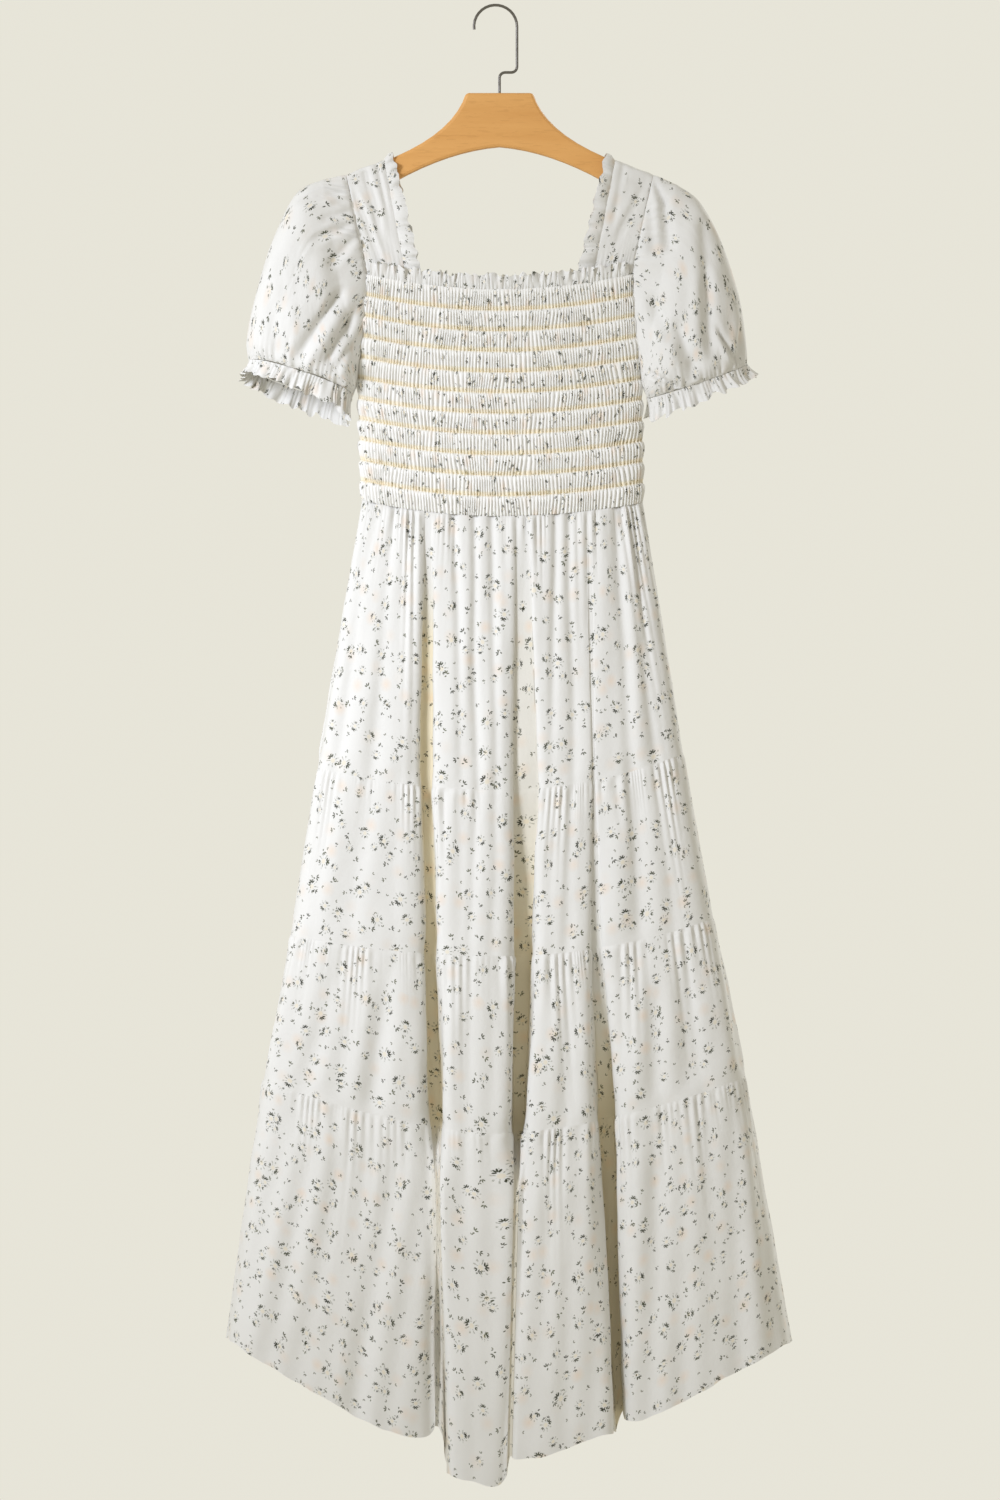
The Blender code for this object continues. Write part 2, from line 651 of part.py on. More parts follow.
def skirt_tier(name, tier, side, finish):
    """Half a tier, front or back, from the seam above to the seam or hem below. Its gathers swell just
    below the seam above and fade out before the one below."""
    depth = -level_value("z_mid", tier + 1) + level_value("z_mid", tier)
    outer = []
    for share in TIER_ROWS:
        position = tier + share
        line = [skirt_point(position, *column, side) for column in section_columns(position, side)]
        if share == 0.0:
            for point in line:
                point.z -= SEAM
        outer.append(line)
    outward = normals_of([line if side < 0 else line[::-1] for line in outer], False)
    last = len(outer[0]) - 1
    for share, line, away in zip(TIER_ROWS, outer, outward):
        away = away if side < 0 else away[::-1]
        below = share * depth
        swell = GATHER * min(1.0, below / GATHER_FULL_AT) * math.exp(-below / GATHER_FADE)
        if share == 1.0:
            swell = 0.0
        for c, normal in enumerate(away):
            fade = min(1.0, c / FADE_COLUMNS, (last - c) / FADE_COLUMNS)
            line[c] = line[c] + normal * swell * fade * math.cos(2 * math.pi * c / GATHER_COLUMNS)
    if side > 0:
        outer = [line[::-1] for line in outer]
    inner = keep_apart(moved_in(outer, CLOTH), side)
    return wall(name, keep_apart(outer, side), inner, finish)


def main():
    clear_scene()
    cloth = material("printed_cotton", (0.93, 0.92, 0.88), 0.85)
    wood = material("beech", (0.80, 0.53, 0.26), 0.45)
    steel = material("polished_wire", (0.62, 0.60, 0.58), 0.25, 1.0)
    hanger_bar(wood)
    hanger_hook(steel)
    for place, side in (("front", -1), ("back", 1)):
        smocked_panel(f"bodice_{place}", side, cloth)
        neck_ruffle(f"neck_ruffle_{place}", side, cloth)
        for tier in range(len(LEVELS) - 1):
            skirt_tier(f"skirt_tier{tier + 1}_{place}", tier, side, cloth)
    for place, hand in (("left", -1), ("right", 1)):
        strap(f"strap_{place}", hand, cloth)
        strap_ruffle(f"strap_ruffle_{place}", hand, cloth)
        sleeve(f"sleeve_{place}", hand, cloth)
        cuff_ruffle(f"cuff_ruffle_{place}", hand, cloth)


main()
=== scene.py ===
"""The looks of a smocked maxi dress on its hanger: cloth, print, shirring, wood and wire.

Each cloth piece is a thin sheet on the form of its CAD solid, worked out as a grid of points whose rows
run down and whose columns run from left to right in front. The dress faces -Y.
"""

from collections import namedtuple
from math import cos, hypot, pi, radians, sin

import bpy
import numpy as np
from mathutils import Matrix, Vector


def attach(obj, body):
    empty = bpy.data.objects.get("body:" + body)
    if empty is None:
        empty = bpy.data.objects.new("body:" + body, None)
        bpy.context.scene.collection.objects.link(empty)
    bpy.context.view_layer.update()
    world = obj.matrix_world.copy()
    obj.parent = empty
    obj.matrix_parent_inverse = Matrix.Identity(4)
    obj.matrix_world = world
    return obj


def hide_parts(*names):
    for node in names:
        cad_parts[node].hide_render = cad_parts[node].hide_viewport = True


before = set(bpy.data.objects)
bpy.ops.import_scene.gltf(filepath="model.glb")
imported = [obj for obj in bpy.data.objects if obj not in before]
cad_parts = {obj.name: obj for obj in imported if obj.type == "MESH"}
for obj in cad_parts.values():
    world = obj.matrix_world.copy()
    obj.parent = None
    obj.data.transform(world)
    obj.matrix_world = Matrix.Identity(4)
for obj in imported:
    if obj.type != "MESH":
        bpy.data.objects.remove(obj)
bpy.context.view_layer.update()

# The photograph's frame: 1.0 m by 1.5 m at the dress, seen from far off
FRAME_CENTRE = (0.0045, -0.7433)
FRAME_HEIGHT = 1.5
CAMERA_AWAY = 9.0
SENSOR = 36.0

# The room's light from in front of the dress and from behind it
ROOM_FRONT = (0.517, 0.489, 0.423, 1)
ROOM_BACK = (0.8, 0.78, 0.69, 1)

# Painted shade: shallow folds are painted greyer, and the floors of the deep ones are painted warmer, as
# painted light that stands for light coming through the cloth
FOLD_SHADE = (0.88, 0.86, 0.8)
PAINTED_WARM_FOLD_LIGHT = (1.1, 1.03, 0.86)

# Sizes that follow the CAD model
CENTRE_X = 0.004
WOOD_THICK = 0.012
WOOD_ROUND = 0.003
ARM_X = 0.105
ARM_TOP_AT_X = -0.1505
ARM_SLOPE = 0.4
NECK_MID_Z = -0.2835
NECK_SAG = 0.015
PANEL_TOP_HALF = 0.1315
PANEL_ARMHOLE_HALF = 0.136
PANEL_UNDERARM_HALF = 0.1415
ARMHOLE_DEPTH = 0.0146
ARMHOLE_LOW_DEPTH = 0.012
STRAP_TOP_OUTER = 0.1535
STRAP_TOP_INNER = 0.1155
STRAP_LOW_INNER = 0.0925
STRAP_CLEAR = 0.0016
STRAP_RUFFLE_LOW = 0.017
STRAP_RUFFLE_TOP = 0.0095
BANDS = 11
ARMHOLE_LINE = 3
UNDERARM_LINE = 5
BODICE_POWER = 2.4
BODICE_DEPTH_TOP = 0.02
SLEEVE_POWER = 3.2

# Smocking
RIBS = 94
COLUMNS_A_RIB = {-1: 6, 1: 4}
ROWS_A_BAND = 9
BAND_SWELL = 0.0032
RIB_DEPTH = 0.0012
THREAD_RADIUS = 0.0005

# A piece's flat width and length, how much wider its print is, and where on the print it starts
Cloth = namedtuple("Cloth", "cut fullness start")
BODICE_CLOTH = {-1: Cloth((0.41, 0.262), 1.25, (1.3, 0.4)), 1: Cloth((0.41, 0.262), 1.25, (2.4, 0.4))}
NECK_RUFFLE_CLOTH = Cloth((0.36, 0.016), 1.3, (3.1, 0.7))
STRAP_CLOTH = Cloth((0.048, 0.25), 1.1, (3.7, 0.2))
STRAP_RUFFLE_CLOTH = Cloth((0.015, 0.26), 1.0, (4.1, 0.3))
SLEEVE_CLOTH = Cloth((0.42, 0.15), 1.05, (4.6, 0.6))
CUFF_RUFFLE_CLOTH = Cloth((0.4, 0.02), 1.2, (5.3, 0.8))
TIER_PRINT_STEP = (0.37, 0.23)
BACK_PRINT_START = 0.9


def rows_of(kind, *rows):
    """A table whose columns have the names of a kind of row."""
    return tuple(kind(*row) for row in rows)


Level = namedtuple(
    "Level", "name left right z_left z_mid z_right arch floor fold back_floor back_fold"
)
LEVELS = rows_of(
    Level,
    ("waist", -0.1375, 0.1435, -0.494, -0.51, -0.496, 2.0, 0.024, 0.0, 0.022, 0.0),
    ("seam_1", -0.1815, 0.1835, -0.761, -0.783, -0.747, 2.0, 0.022, 0.026, 0.02, 0.018),
    ("seam_2", -0.2085, 0.2135, -0.928, -0.948, -0.911, 2.0, 0.02, 0.04, 0.018, 0.028),
    ("seam_3", -0.2355, 0.2455, -1.072, -1.124, -1.069, 1.6, 0.02, 0.052, 0.018, 0.036),
    ("hem", -0.2715, 0.2905, -1.33, -1.472, -1.334, 1.3, 0.02, 0.062, 0.018, 0.044),
)
# rise is how far a valley's floor stands out, as a share of the folds beside it
Valley = namedtuple("Valley", "name x gap rise")
FRONT_VALLEYS = rows_of(
    Valley,
    ("left", (-0.071, -0.0725, -0.069, -0.0628, -0.056), (0.007, 0.0105, 0.012, 0.012, 0.01),
     (0.0, 0.1, 0.15, 0.15, 0.62)),
    ("middle", (0.024, 0.0265, 0.024, 0.018, 0.01), (0.014, 0.026, 0.018, 0.011, 0.007),
     (0.5, 0.45, 0.15, 0.15, 0.15)),
    ("right", (0.09, 0.094, 0.0965, 0.1065, 0.12), (0.003, 0.004, 0.011, 0.0175, 0.008),
     (0.7, 0.75, 0.6, 0.15, 0.15)),
)
BACK_RISE = (0.3, 0.2, 0.15, 0.15, 0.15)
BACK_VALLEYS = rows_of(
    Valley,
    ("left", (-0.08, -0.098, -0.108, -0.118, -0.13), (0.004, 0.01, 0.012, 0.014, 0.012),
     BACK_RISE),
    ("middle", (-0.005, -0.012, -0.018, -0.022, -0.02), (0.004, 0.012, 0.012, 0.01, 0.009),
     BACK_RISE),
    ("right", (0.072, 0.082, 0.092, 0.1, 0.112), (0.004, 0.009, 0.012, 0.014, 0.014),
     BACK_RISE),
)
# bend is how late along a fold its hem goes from the left lift to the right one
Lobe = namedtuple("Lobe", "name columns share lift_left lift_right bend")
FRONT_LOBES = rows_of(
    Lobe,
    ("left", 210, 0.8, 0.0, 0.044, 3.0),
    ("mid_left", 130, 1.0, -0.006, 0.015, 3.0),
    ("mid_right", 140, 0.94, 0.027, 0.008, 0.8),
    ("right", 200, 0.84, 0.026, 0.0, 0.4),
)
BACK_LOBES = rows_of(
    Lobe,
    ("left", 110, 0.85, 0.0, 0.018, 2.0),
    ("mid_left", 90, 1.0, 0.024, 0.034, 2.0),
    ("mid_right", 90, 0.95, 0.034, 0.026, 2.0),
    ("right", 110, 0.85, 0.022, 0.0, 2.0),
)
VALLEY_COLUMNS = 8
# Rows of points: how many stand close below a seam, how far down, and how far apart the others are
CLOSE_ROWS = 7
CLOSE_ROWS_REACH = 0.016
ROW_STEP = 0.0052
# How much higher than the folds a valley's floor ends at the hem
VALLEY_TUCK = 0.004
# How round a fold's edges are: more is crisper
LEFT_EDGE = 4.6
RIGHT_EDGE = 4.2
# The front's valleys that close in the last tier, and how much of their gap opens again at the hem
CLOSED_VALLEYS = {"left": 1.0, "middle": 0.0}
CLOSE_FROM = 2.95
CLOSE_TO = 3.2
OPEN_FROM = 3.25
OPEN_TO = 3.8
CLOSED_GAP = 0.004
CLOSED_RISE = 0.9
# The stretch beside the left one that rolls into it, and how much painted shade it takes
ROLLED_WIDTH = 0.014
ROLLED_SHADE = 0.55
# How much of the deep folds' painted shade is painted in a closed valley, and how far beside it the small
# folds die out
CLOSED_SHADE = 0.7
STILL_REACH = 0.006
# Gathers below the waist and the other seams: how high and long the fine and the broad ones are, how far
# apart the broad ones are, and how many times longer the longest is
Gathered = namedtuple("Gathered", "fine broad fine_reach broad_reach spacing longest")
WAIST_GATHERS = Gathered(0.0009, 0.0019, 0.014, 0.044, 0.0185, 2.6)
SEAM_GATHERS = Gathered(0.0006, 0.0015, 0.01, 0.03, 0.0125, 1.7)
FINE_SPACING = 0.0068
SEAM_RISE = 0.0035
SEAM_SWELL = 0.0006
# Height and length of the soft waves of each tier
TIER_WAVES = ((0.0014, 0.058), (0.0014, 0.058), (0.0021, 0.049), (0.0021, 0.049))
# Where the front's lower tiers are gathered most
FULLEST_X = 0.062
FULLEST_WIDTH = 0.03

# Long soft troughs of the skirt: place and depth at each level, and half width at the waist and the hem
Trough = namedtuple("Trough", "x depth wide_top wide_hem")
FRONT_TROUGHS = rows_of(
    Trough,
    ((-0.127, -0.165, -0.188, -0.212, -0.242), (0.0024, 0.0022, 0.0016, 0.0012, 0.0012), 0.005, 0.014),
    ((-0.106, -0.127, -0.15, -0.198, -0.215), (0.0032, 0.002, 0.0016, 0.0034, 0.0022), 0.006, 0.015),
    ((-0.09, -0.101, -0.106, -0.131, -0.142), (0.001, 0.0008, 0.0012, 0.0024, 0.0018), 0.006, 0.013),
    ((-0.084, -0.084, -0.08, -0.069, -0.0655), (0.0, 0.0, 0.0, 0.002, 0.0042), 0.005, 0.007),
    ((-0.044, -0.039, -0.038, -0.04, -0.04), (0.0038, 0.0008, 0.0006, 0.0006, 0.0006), 0.004, 0.008),
    ((-0.025, -0.022, -0.03, -0.032, -0.028), (0.0036, 0.0022, 0.0014, 0.0012, 0.001), 0.004, 0.008),
    ((-0.008, -0.003, -0.006, -0.008, -0.006), (0.003, 0.002, 0.0012, 0.0008, 0.0008), 0.004, 0.009),
    ((0.056, 0.052, 0.05, 0.048, 0.046), (0.0036, 0.0008, 0.0008, 0.0006, 0.0006), 0.004, 0.008),
    ((0.069, 0.074, 0.066, 0.064, 0.068), (0.003, 0.0014, 0.0016, 0.0016, 0.0014), 0.004, 0.011),
    ((0.118, 0.132, 0.14, 0.16, 0.18), (0.0034, 0.0034, 0.0022, 0.0024, 0.0026), 0.005, 0.015),
    ((0.132, 0.156, 0.174, 0.203, 0.235), (0.0026, 0.0022, 0.0016, 0.0022, 0.0024), 0.004, 0.014),
)
BACK_TROUGHS = rows_of(
    Trough,
    ((-0.115, -0.15, -0.17, -0.195, -0.22), (0.0034, 0.0026, 0.0022, 0.0024, 0.0024), 0.005, 0.015),
    ((-0.05, -0.056, -0.06, -0.07, -0.076), (0.004, 0.002, 0.0016, 0.0018, 0.0018), 0.005, 0.012),
    ((0.028, 0.032, 0.036, 0.04, 0.044), (0.004, 0.0022, 0.0016, 0.0018, 0.0018), 0.005, 0.012),
    ((0.11, 0.135, 0.156, 0.18, 0.205), (0.0034, 0.0024, 0.0022, 0.0026, 0.0026), 0.005, 0.015),
)

# What the front, side -1, and the back, side 1, are made from. floor and fold name columns of LEVELS
Half = namedtuple("Half", "name valleys lobes troughs floor fold")
HALVES = {
    -1: Half("front", FRONT_VALLEYS, FRONT_LOBES, FRONT_TROUGHS, "floor", "fold"),
    1: Half("back", BACK_VALLEYS, BACK_LOBES, BACK_TROUGHS, "back_floor", "back_fold"),
}

# Creases of a sleeve, from one place to another: x out from the centre line and z, depth, half width
Crease = namedtuple("Crease", "x_from z_from x_to z_to depth width")
LEFT_CREASES = rows_of(
    Crease,
    (0.152, -0.186, 0.203, -0.194, 0.0041, 0.0045),
    (0.157, -0.286, 0.203, -0.356, 0.0071, 0.006),
    (0.146, -0.308, 0.172, -0.36, 0.0055, 0.0048),
    (0.149, -0.34, 0.166, -0.368, 0.0034, 0.0036),
    (0.225, -0.296, 0.221, -0.352, 0.0032, 0.0085),
    (0.2, -0.25, 0.206, -0.3, 0.0014, 0.012),
    (0.146, -0.205, 0.178, -0.214, 0.0025, 0.003),
    (0.146, -0.218, 0.186, -0.236, 0.003, 0.0035),
    (0.145, -0.232, 0.17, -0.262, 0.0025, 0.004),
    (0.147, -0.192, 0.168, -0.199, 0.0021, 0.0028),
)
RIGHT_CREASES = rows_of(
    Crease,
    (0.1545, -0.174, 0.166, -0.2, 0.006, 0.003),
    (0.164, -0.194, 0.168, -0.246, 0.0075, 0.0055),
    (0.15, -0.196, 0.156, -0.25, 0.0041, 0.005),
    (0.203, -0.215, 0.208, -0.266, 0.0041, 0.007),
    (0.206, -0.262, 0.211, -0.35, 0.0064, 0.0065),
    (0.174, -0.316, 0.197, -0.368, 0.0075, 0.0085),
    (0.151, -0.29, 0.171, -0.338, 0.0045, 0.0065),
    (0.218, -0.324, 0.238, -0.358, 0.0056, 0.0028),
    (0.242, -0.318, 0.24, -0.354, 0.0041, 0.0028),
    (0.149, -0.367, 0.178, -0.384, 0.0049, 0.0026),
)
BACK_CREASES = rows_of(
    Crease,
    (0.15, -0.22, 0.18, -0.3, 0.0036, 0.0065),
    (0.146, -0.28, 0.19, -0.366, 0.0045, 0.006),
    (0.214, -0.29, 0.222, -0.358, 0.0026, 0.006),
)

# Sections of a sleeve from its cap to its cuff: its top's x and z, then its underside's, and its depth
SLEEVE_TOPS = {
    "left": (
        (0.177, -0.1735), (0.2035, -0.1875), (0.227, -0.235),
        (0.244, -0.29), (0.2525, -0.335), (0.25, -0.357),
    ),
    "right": (
        (0.177, -0.1785), (0.2005, -0.196), (0.2215, -0.235),
        (0.2395, -0.29), (0.2465, -0.335), (0.2475, -0.357),
    ),
}
SLEEVE_UNDERS = (
    (0.1424, -0.3775, 0.027), (0.1432, -0.38, 0.036), (0.1442, -0.3825, 0.041),
    (0.1452, -0.385, 0.042), (0.1462, -0.3875, 0.038), (0.1475, -0.3905, 0.031),
)
CUFF_TILT = {"left": 0.009, "right": -0.004}
# Lengthwise folds of a strap's front: place across at its two ends, how far down it runs, depth, width
StrapFold = namedtuple("StrapFold", "across_from across_to down_from down_to depth width")
STRAP_FOLDS = {
    "left": rows_of(
        StrapFold,
        (0.52, 0.44, 0.1, 0.62, 0.0026, 0.085),
        (0.86, 0.58, 0.28, 0.92, 0.0026, 0.075),
        (0.2, 0.16, 0.02, 0.5, 0.0012, 0.05),
    ),
    "right": rows_of(
        StrapFold,
        (0.84, 0.44, 0.22, 0.75, 0.0014, 0.11),
        (0.22, 0.26, 0.05, 0.6, 0.0009, 0.08),
    ),
}
# The ruffle's length at the top of the cuff and under the arm
CUFF_RUFFLE_LENGTHS = (0.014, 0.022)
NECK_RUFFLE_HEIGHT = 0.0148
# How many pleats and fine ripples each ruffle has, and gathers a sleeve has at its head and above its cuff
NECK_PLEATS, NECK_RIPPLES = 34, 71
CUFF_PLEATS, CUFF_RIPPLES = 25, 66
HEAD_GATHERS, FOOT_GATHERS = 56, 44
# How far apart a strap ruffle's puffs and ripples are
STRAP_PUFF, STRAP_RIPPLE = 0.02, 0.0068

# How many columns of points each piece has, half of them in front on a sleeve
NECK_RUFFLE_COLUMNS = {-1: 560, 1: 400}
STRAP_COLUMNS = 44
SLEEVE_HALF_COLUMNS = 110
CUFF_RUFFLE_COLUMNS = 330

# How far apart the marks of each kind are on the print, and where their layout starts
DAISIES = (0.0268, (0.013, 0.021, 0))
SPRIGS = (0.0216, (0.171, 0.093, 0))
SPECKS = (0.0192, (0.311, 0.217, 0))
BLUSHES = (0.033, (0.52, 0.402, 0))
BLUSH_RADIUS = 0.0085
DAISY_RADIUS = 0.0043
WEAVE_PITCH = 0.00055
TWIST_PITCH = 0.0024

# Colours of the cloth and of its marks, each with alpha
COTTON_GROUND = ((0.78, 0.775, 0.745, 1), (0.81, 0.805, 0.775, 1))
# A lighter ground for the shirred bodice: painted light that offsets the shade between its ribs
SMOCKED_PAINTED_LIGHT_GROUND = ((0.865, 0.858, 0.822, 1), (0.89, 0.883, 0.85, 1))
BLUSH_INK = (0.84, 0.66, 0.5, 1)
HEART_INK = (0.84, 0.73, 0.5, 1)
STROKE_INK = (0.16, 0.165, 0.1, 1)
SPECK_INK = (0.13, 0.135, 0.08, 1)
SPRIG_INKS = ((0.024, 0.027, 0.01, 1), (0.125, 0.137, 0.075, 1))
LEAF_INKS = ((0.016, 0.019, 0.007, 1), (0.06, 0.069, 0.034, 1))
SHIRRED_TONES = ((0.87, 0.76, 0.42, 1), (0.88, 0.7, 0.44, 1))

Light = namedtuple("Light", "name place target size watts colour spread")
LIGHTS = rows_of(
    Light,
    ("window", (-1.65, -1.75, 0.1), (-0.16, 0.0, -0.7), (0.6, 0.8), 5.6, (0.84, 0.88, 1.0), 56),
    ("behind", (1.5, 2.2, 0.4), (0.0, 0.0, -0.7), (1.0, 1.4), 10, (0.92, 0.95, 1.0), 100),
)
FLOOR_CORNERS = ((-2, -3, -1.62), (2, -3, -1.62), (2, 1.1, -1.62), (-2, 1.1, -1.62))


def lerp(a, b, share):
    return a + (b - a) * share


def power(value, exponent):
    return np.sign(value) * np.abs(value) ** exponent


def wobble(values, wavelength, seed):
    """A smooth uneven wave between about -1 and 1, the same on every run."""
    t = np.asarray(values) / wavelength * 2 * pi
    turns = ((1.0, 1.7), (0.618, 4.1), (1.414, 0.6), (0.377, 5.3))
    waves = (np.sin(t * rate + seed * 2.399 * (i + 1) + turn) for i, (rate, turn) in enumerate(turns))
    return sum(waves) / 2.4


def smooth(low, high, value):
    t = np.clip((value - low) / (high - low), 0.0, 1.0)
    return t * t * (3 - 2 * t)


def hump(away, width):
    """1 where away is 0, and less to both sides."""
    return np.exp(-(away / width) ** 2)


# Grids of points

def unit(vectors):
    return vectors / np.maximum(np.linalg.norm(vectors, axis=-1, keepdims=True), 1e-12)


def normals_of(grid, ring=False):
    down = np.gradient(grid, axis=0)
    if ring:
        along = np.roll(grid, -1, axis=1) - np.roll(grid, 1, axis=1)
    else:
        along = np.gradient(grid, axis=1)
    return unit(np.cross(down, along))


def moved_out(grid, distance, ring=False):
    return grid + normals_of(grid, ring) * distance[..., None]


def lengths_along(grid, axis):
    """Distance along each row (axis 1) or column (axis 0) of a grid, from its first point."""
    steps = np.linalg.norm(np.diff(grid, axis=axis), axis=2)
    out = np.cumsum(steps, axis=axis)
    pad = [(1, 0) if a == axis else (0, 0) for a in range(2)]
    return np.pad(out, pad)


def cloth_uv(grid, ring, fullness, start):
    """Places on the flat cloth in metres: along the longest row, and down the columns."""
    if ring:
        grid = np.concatenate([grid, grid[:, :1]], axis=1)
    across = lengths_along(grid, 1)
    u = np.broadcast_to(across[np.argmax(across[:, -1])] * fullness, across.shape)
    v = -np.broadcast_to(lengths_along(grid, 0).mean(axis=1)[:, None], across.shape)
    return np.stack([u + start[0], v + start[1]], axis=2)


def put_in_scene(name, data):
    thing = bpy.data.objects.new(name, data)
    bpy.context.scene.collection.objects.link(thing)
    return thing


def quads(rows, first, last, wide):
    """Corner numbers of a grid's faces, from the columns on their two sides and the grid's width."""
    r = np.arange(rows - 1)[:, None]
    corners = [r * wide + first, (r + 1) * wide + first, (r + 1) * wide + last, r * wide + last]
    return np.stack([np.broadcast_to(k, (rows - 1, first.size)) for k in corners], axis=-1).reshape(-1, 4)


def sheet_piece(name, grid, uv, ring, marks):
    """A mesh piece of a grid, with its place on the flat cloth as a UV map and its marks as attributes."""
    rows, columns = grid.shape[:2]
    c = np.arange(columns if ring else columns - 1)[None, :]
    loops = quads(rows, c, c + 1, uv.shape[1]).ravel()
    data = bpy.data.meshes.new(name)
    data.from_pydata(grid.reshape(-1, 3).tolist(), [], quads(rows, c, (c + 1) % columns, columns).tolist())
    layer = data.uv_layers.new(name="cloth")
    layer.data.foreach_set("uv", uv.reshape(-1, 2)[loops].astype(np.float32).ravel())
    for key, values in (marks or {}).items():
        attribute = data.attributes.new(key, "FLOAT", "POINT")
        values = np.broadcast_to(values, (rows, columns)).astype(np.float32)
        attribute.data.foreach_set("value", values.ravel())
    data.shade_smooth()
    data.update()
    return put_in_scene(name, data)


def tube_piece(name, lines, radius, sides):
    """One mesh of thin round threads along lines of points."""
    verts, faces = [], []
    k = np.arange(sides)[None, :]
    for line in lines:
        ahead = unit(np.gradient(line, axis=0))
        side = unit(np.cross(ahead, (0.0, 1.0, 0.0)))
        up = np.cross(side, ahead)
        start, n = len(verts), len(line)
        for turn in 2 * pi * k[0] / sides:
            verts += (line + (side * cos(turn) + up * sin(turn)) * radius).tolist()
        faces += (start + quads(n, k * n, (k + 1) % sides * n, 1)).tolist()
        faces += (start + k * n).tolist()
        faces += (start + k[:, ::-1] * n + n - 1).tolist()
    data = bpy.data.meshes.new(name)
    data.from_pydata(verts, [], faces)
    data.shade_smooth()
    return put_in_scene(name, data)


def cloth_piece(node, cloth, grid, finish, hand=1, ring=False, marks=None):
    """Makes a grid a piece of printed cloth that stands for its CAD node."""
    uv = cloth_uv(grid, ring, cloth.fullness, (cloth.start[0], cloth.start[1] * hand))
    piece = sheet_piece(node + "_cloth", grid, uv, ring, marks)
    piece.data.materials.append(finish)
    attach(piece, "root")
    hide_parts(node)


# Skirt

def at_level(values, down):
    """A value so far down the skirt, in levels from 0 at the waist, between its values at the levels."""
    return np.interp(down, range(len(LEVELS)), values)


def level_value(name, down):
    return at_level([getattr(level, name) for level in LEVELS], down)


def closed_share(valley, down):
    """How far a valley is closed so far down the skirt, from 0 to 1."""
    if valley not in FRONT_VALLEYS or valley.name not in CLOSED_VALLEYS:
        return 0.0
    opens = CLOSED_VALLEYS[valley.name] * smooth(OPEN_FROM, OPEN_TO, down)
    return smooth(CLOSE_FROM, CLOSE_TO, down) * (1 - opens)


def valley_edges(valley, down):
    x = at_level(valley.x, down)
    gap = at_level(valley.gap, down)
    gap = lerp(gap, CLOSED_GAP, closed_share(valley, down))
    return x - gap / 2, x + gap / 2


def valley_rise(valley, down):
    return lerp(at_level(valley.rise, down), CLOSED_RISE, closed_share(valley, down))


def closed_near(x, down, reach):
    """How near places across the front are to a closed valley, from 0 to 1 inside it."""
    near = np.zeros(x.shape)
    for valley in FRONT_VALLEYS:
        left, right = valley_edges(valley, down)
        away = np.maximum(left - x, x - right)
        near = np.maximum(near, (1 - smooth(0, reach, away)) * closed_share(valley, down))
    return near


def section_line(down, side):
    """Columns of a section, left to right: x from the centre, how far the fold stands out, and how much
    its hem is lifted."""
    valleys, lobes = HALVES[side].valleys, HALVES[side].lobes
    fold = level_value(HALVES[side].fold, down)
    edges = [level_value("left", down)]
    for valley in valleys:
        edges += valley_edges(valley, down)
    edges.append(level_value("right", down))
    rises = [0.0, *(valley_rise(valley, down) * fold for valley in valleys), 0.0]
    open_rises = [0.0, *(at_level(valley.rise, down) * fold for valley in valleys), 0.0]
    xs, bulges, lifts = [], [], []
    dense = np.linspace(0.0, 1.0, 240)
    for k, lobe in enumerate(lobes):
        start, end = edges[2 * k], edges[2 * k + 1]
        angle = pi * (1 - dense)
        exponent = 2 / np.where(dense < 0.5, LEFT_EDGE, RIGHT_EDGE)
        x = lerp(start, end, (1 + power(np.cos(angle), exponent)) / 2)
        rounding = np.maximum(np.sin(angle), 0.0) ** exponent
        floor, open_floor = (lerp(ends[k], ends[k + 1], dense) for ends in (rises, open_rises))
        y, open_y = (base + (fold * lobe.share - base) * rounding for base in (floor, open_floor))
        # Columns keep their places on the front of a fold where the valley beside it closes
        length = np.concatenate([[0.0], np.cumsum(np.hypot(np.diff(x), np.diff(open_y)))])
        at = np.interp(np.linspace(0, length[-1], lobe.columns + 1), length, dense)
        xs.append(np.interp(at, dense, x))
        bulges.append(np.interp(at, dense, y))
        lifts.append(lerp(lobe.lift_left, lobe.lift_right, at ** lobe.bend))
        if k < len(valleys):
            inner = np.linspace(0, 1, VALLEY_COLUMNS + 1)[1:-1]
            xs.append(lerp(end, edges[2 * k + 2], inner))
            bulges.append(np.full(len(inner), rises[k + 1]))
            tuck = VALLEY_TUCK * np.sin(pi * inner)
            lifts.append(lerp(lobe.lift_right, lobes[k + 1].lift_left, inner) + tuck)
    return np.concatenate(xs), np.concatenate(bulges), np.concatenate(lifts)


def skirt_section(down, side):
    """Points of the skirt's section so far down, before its small folds."""
    x, bulge, lift = section_line(down, side)
    left, right = level_value("left", down), level_value("right", down)
    n = np.clip(np.where(x < 0, x / -left, x / right), -1.0, 1.0)
    floor = level_value(HALVES[side].floor, down)
    mid = level_value("z_mid", down)
    edge = np.where(x < 0, level_value("z_left", down), level_value("z_right", down))
    z = mid + (edge - mid) * np.abs(n) ** level_value("arch", down)
    z = z + lift * max(0.0, down - 3.0) ** 1.5
    y = floor * np.maximum(0.0, 1 - np.abs(n) ** BODICE_POWER) ** (1 / BODICE_POWER) + bulge
    return np.stack([CENTRE_X + x, side * y, z], axis=1)


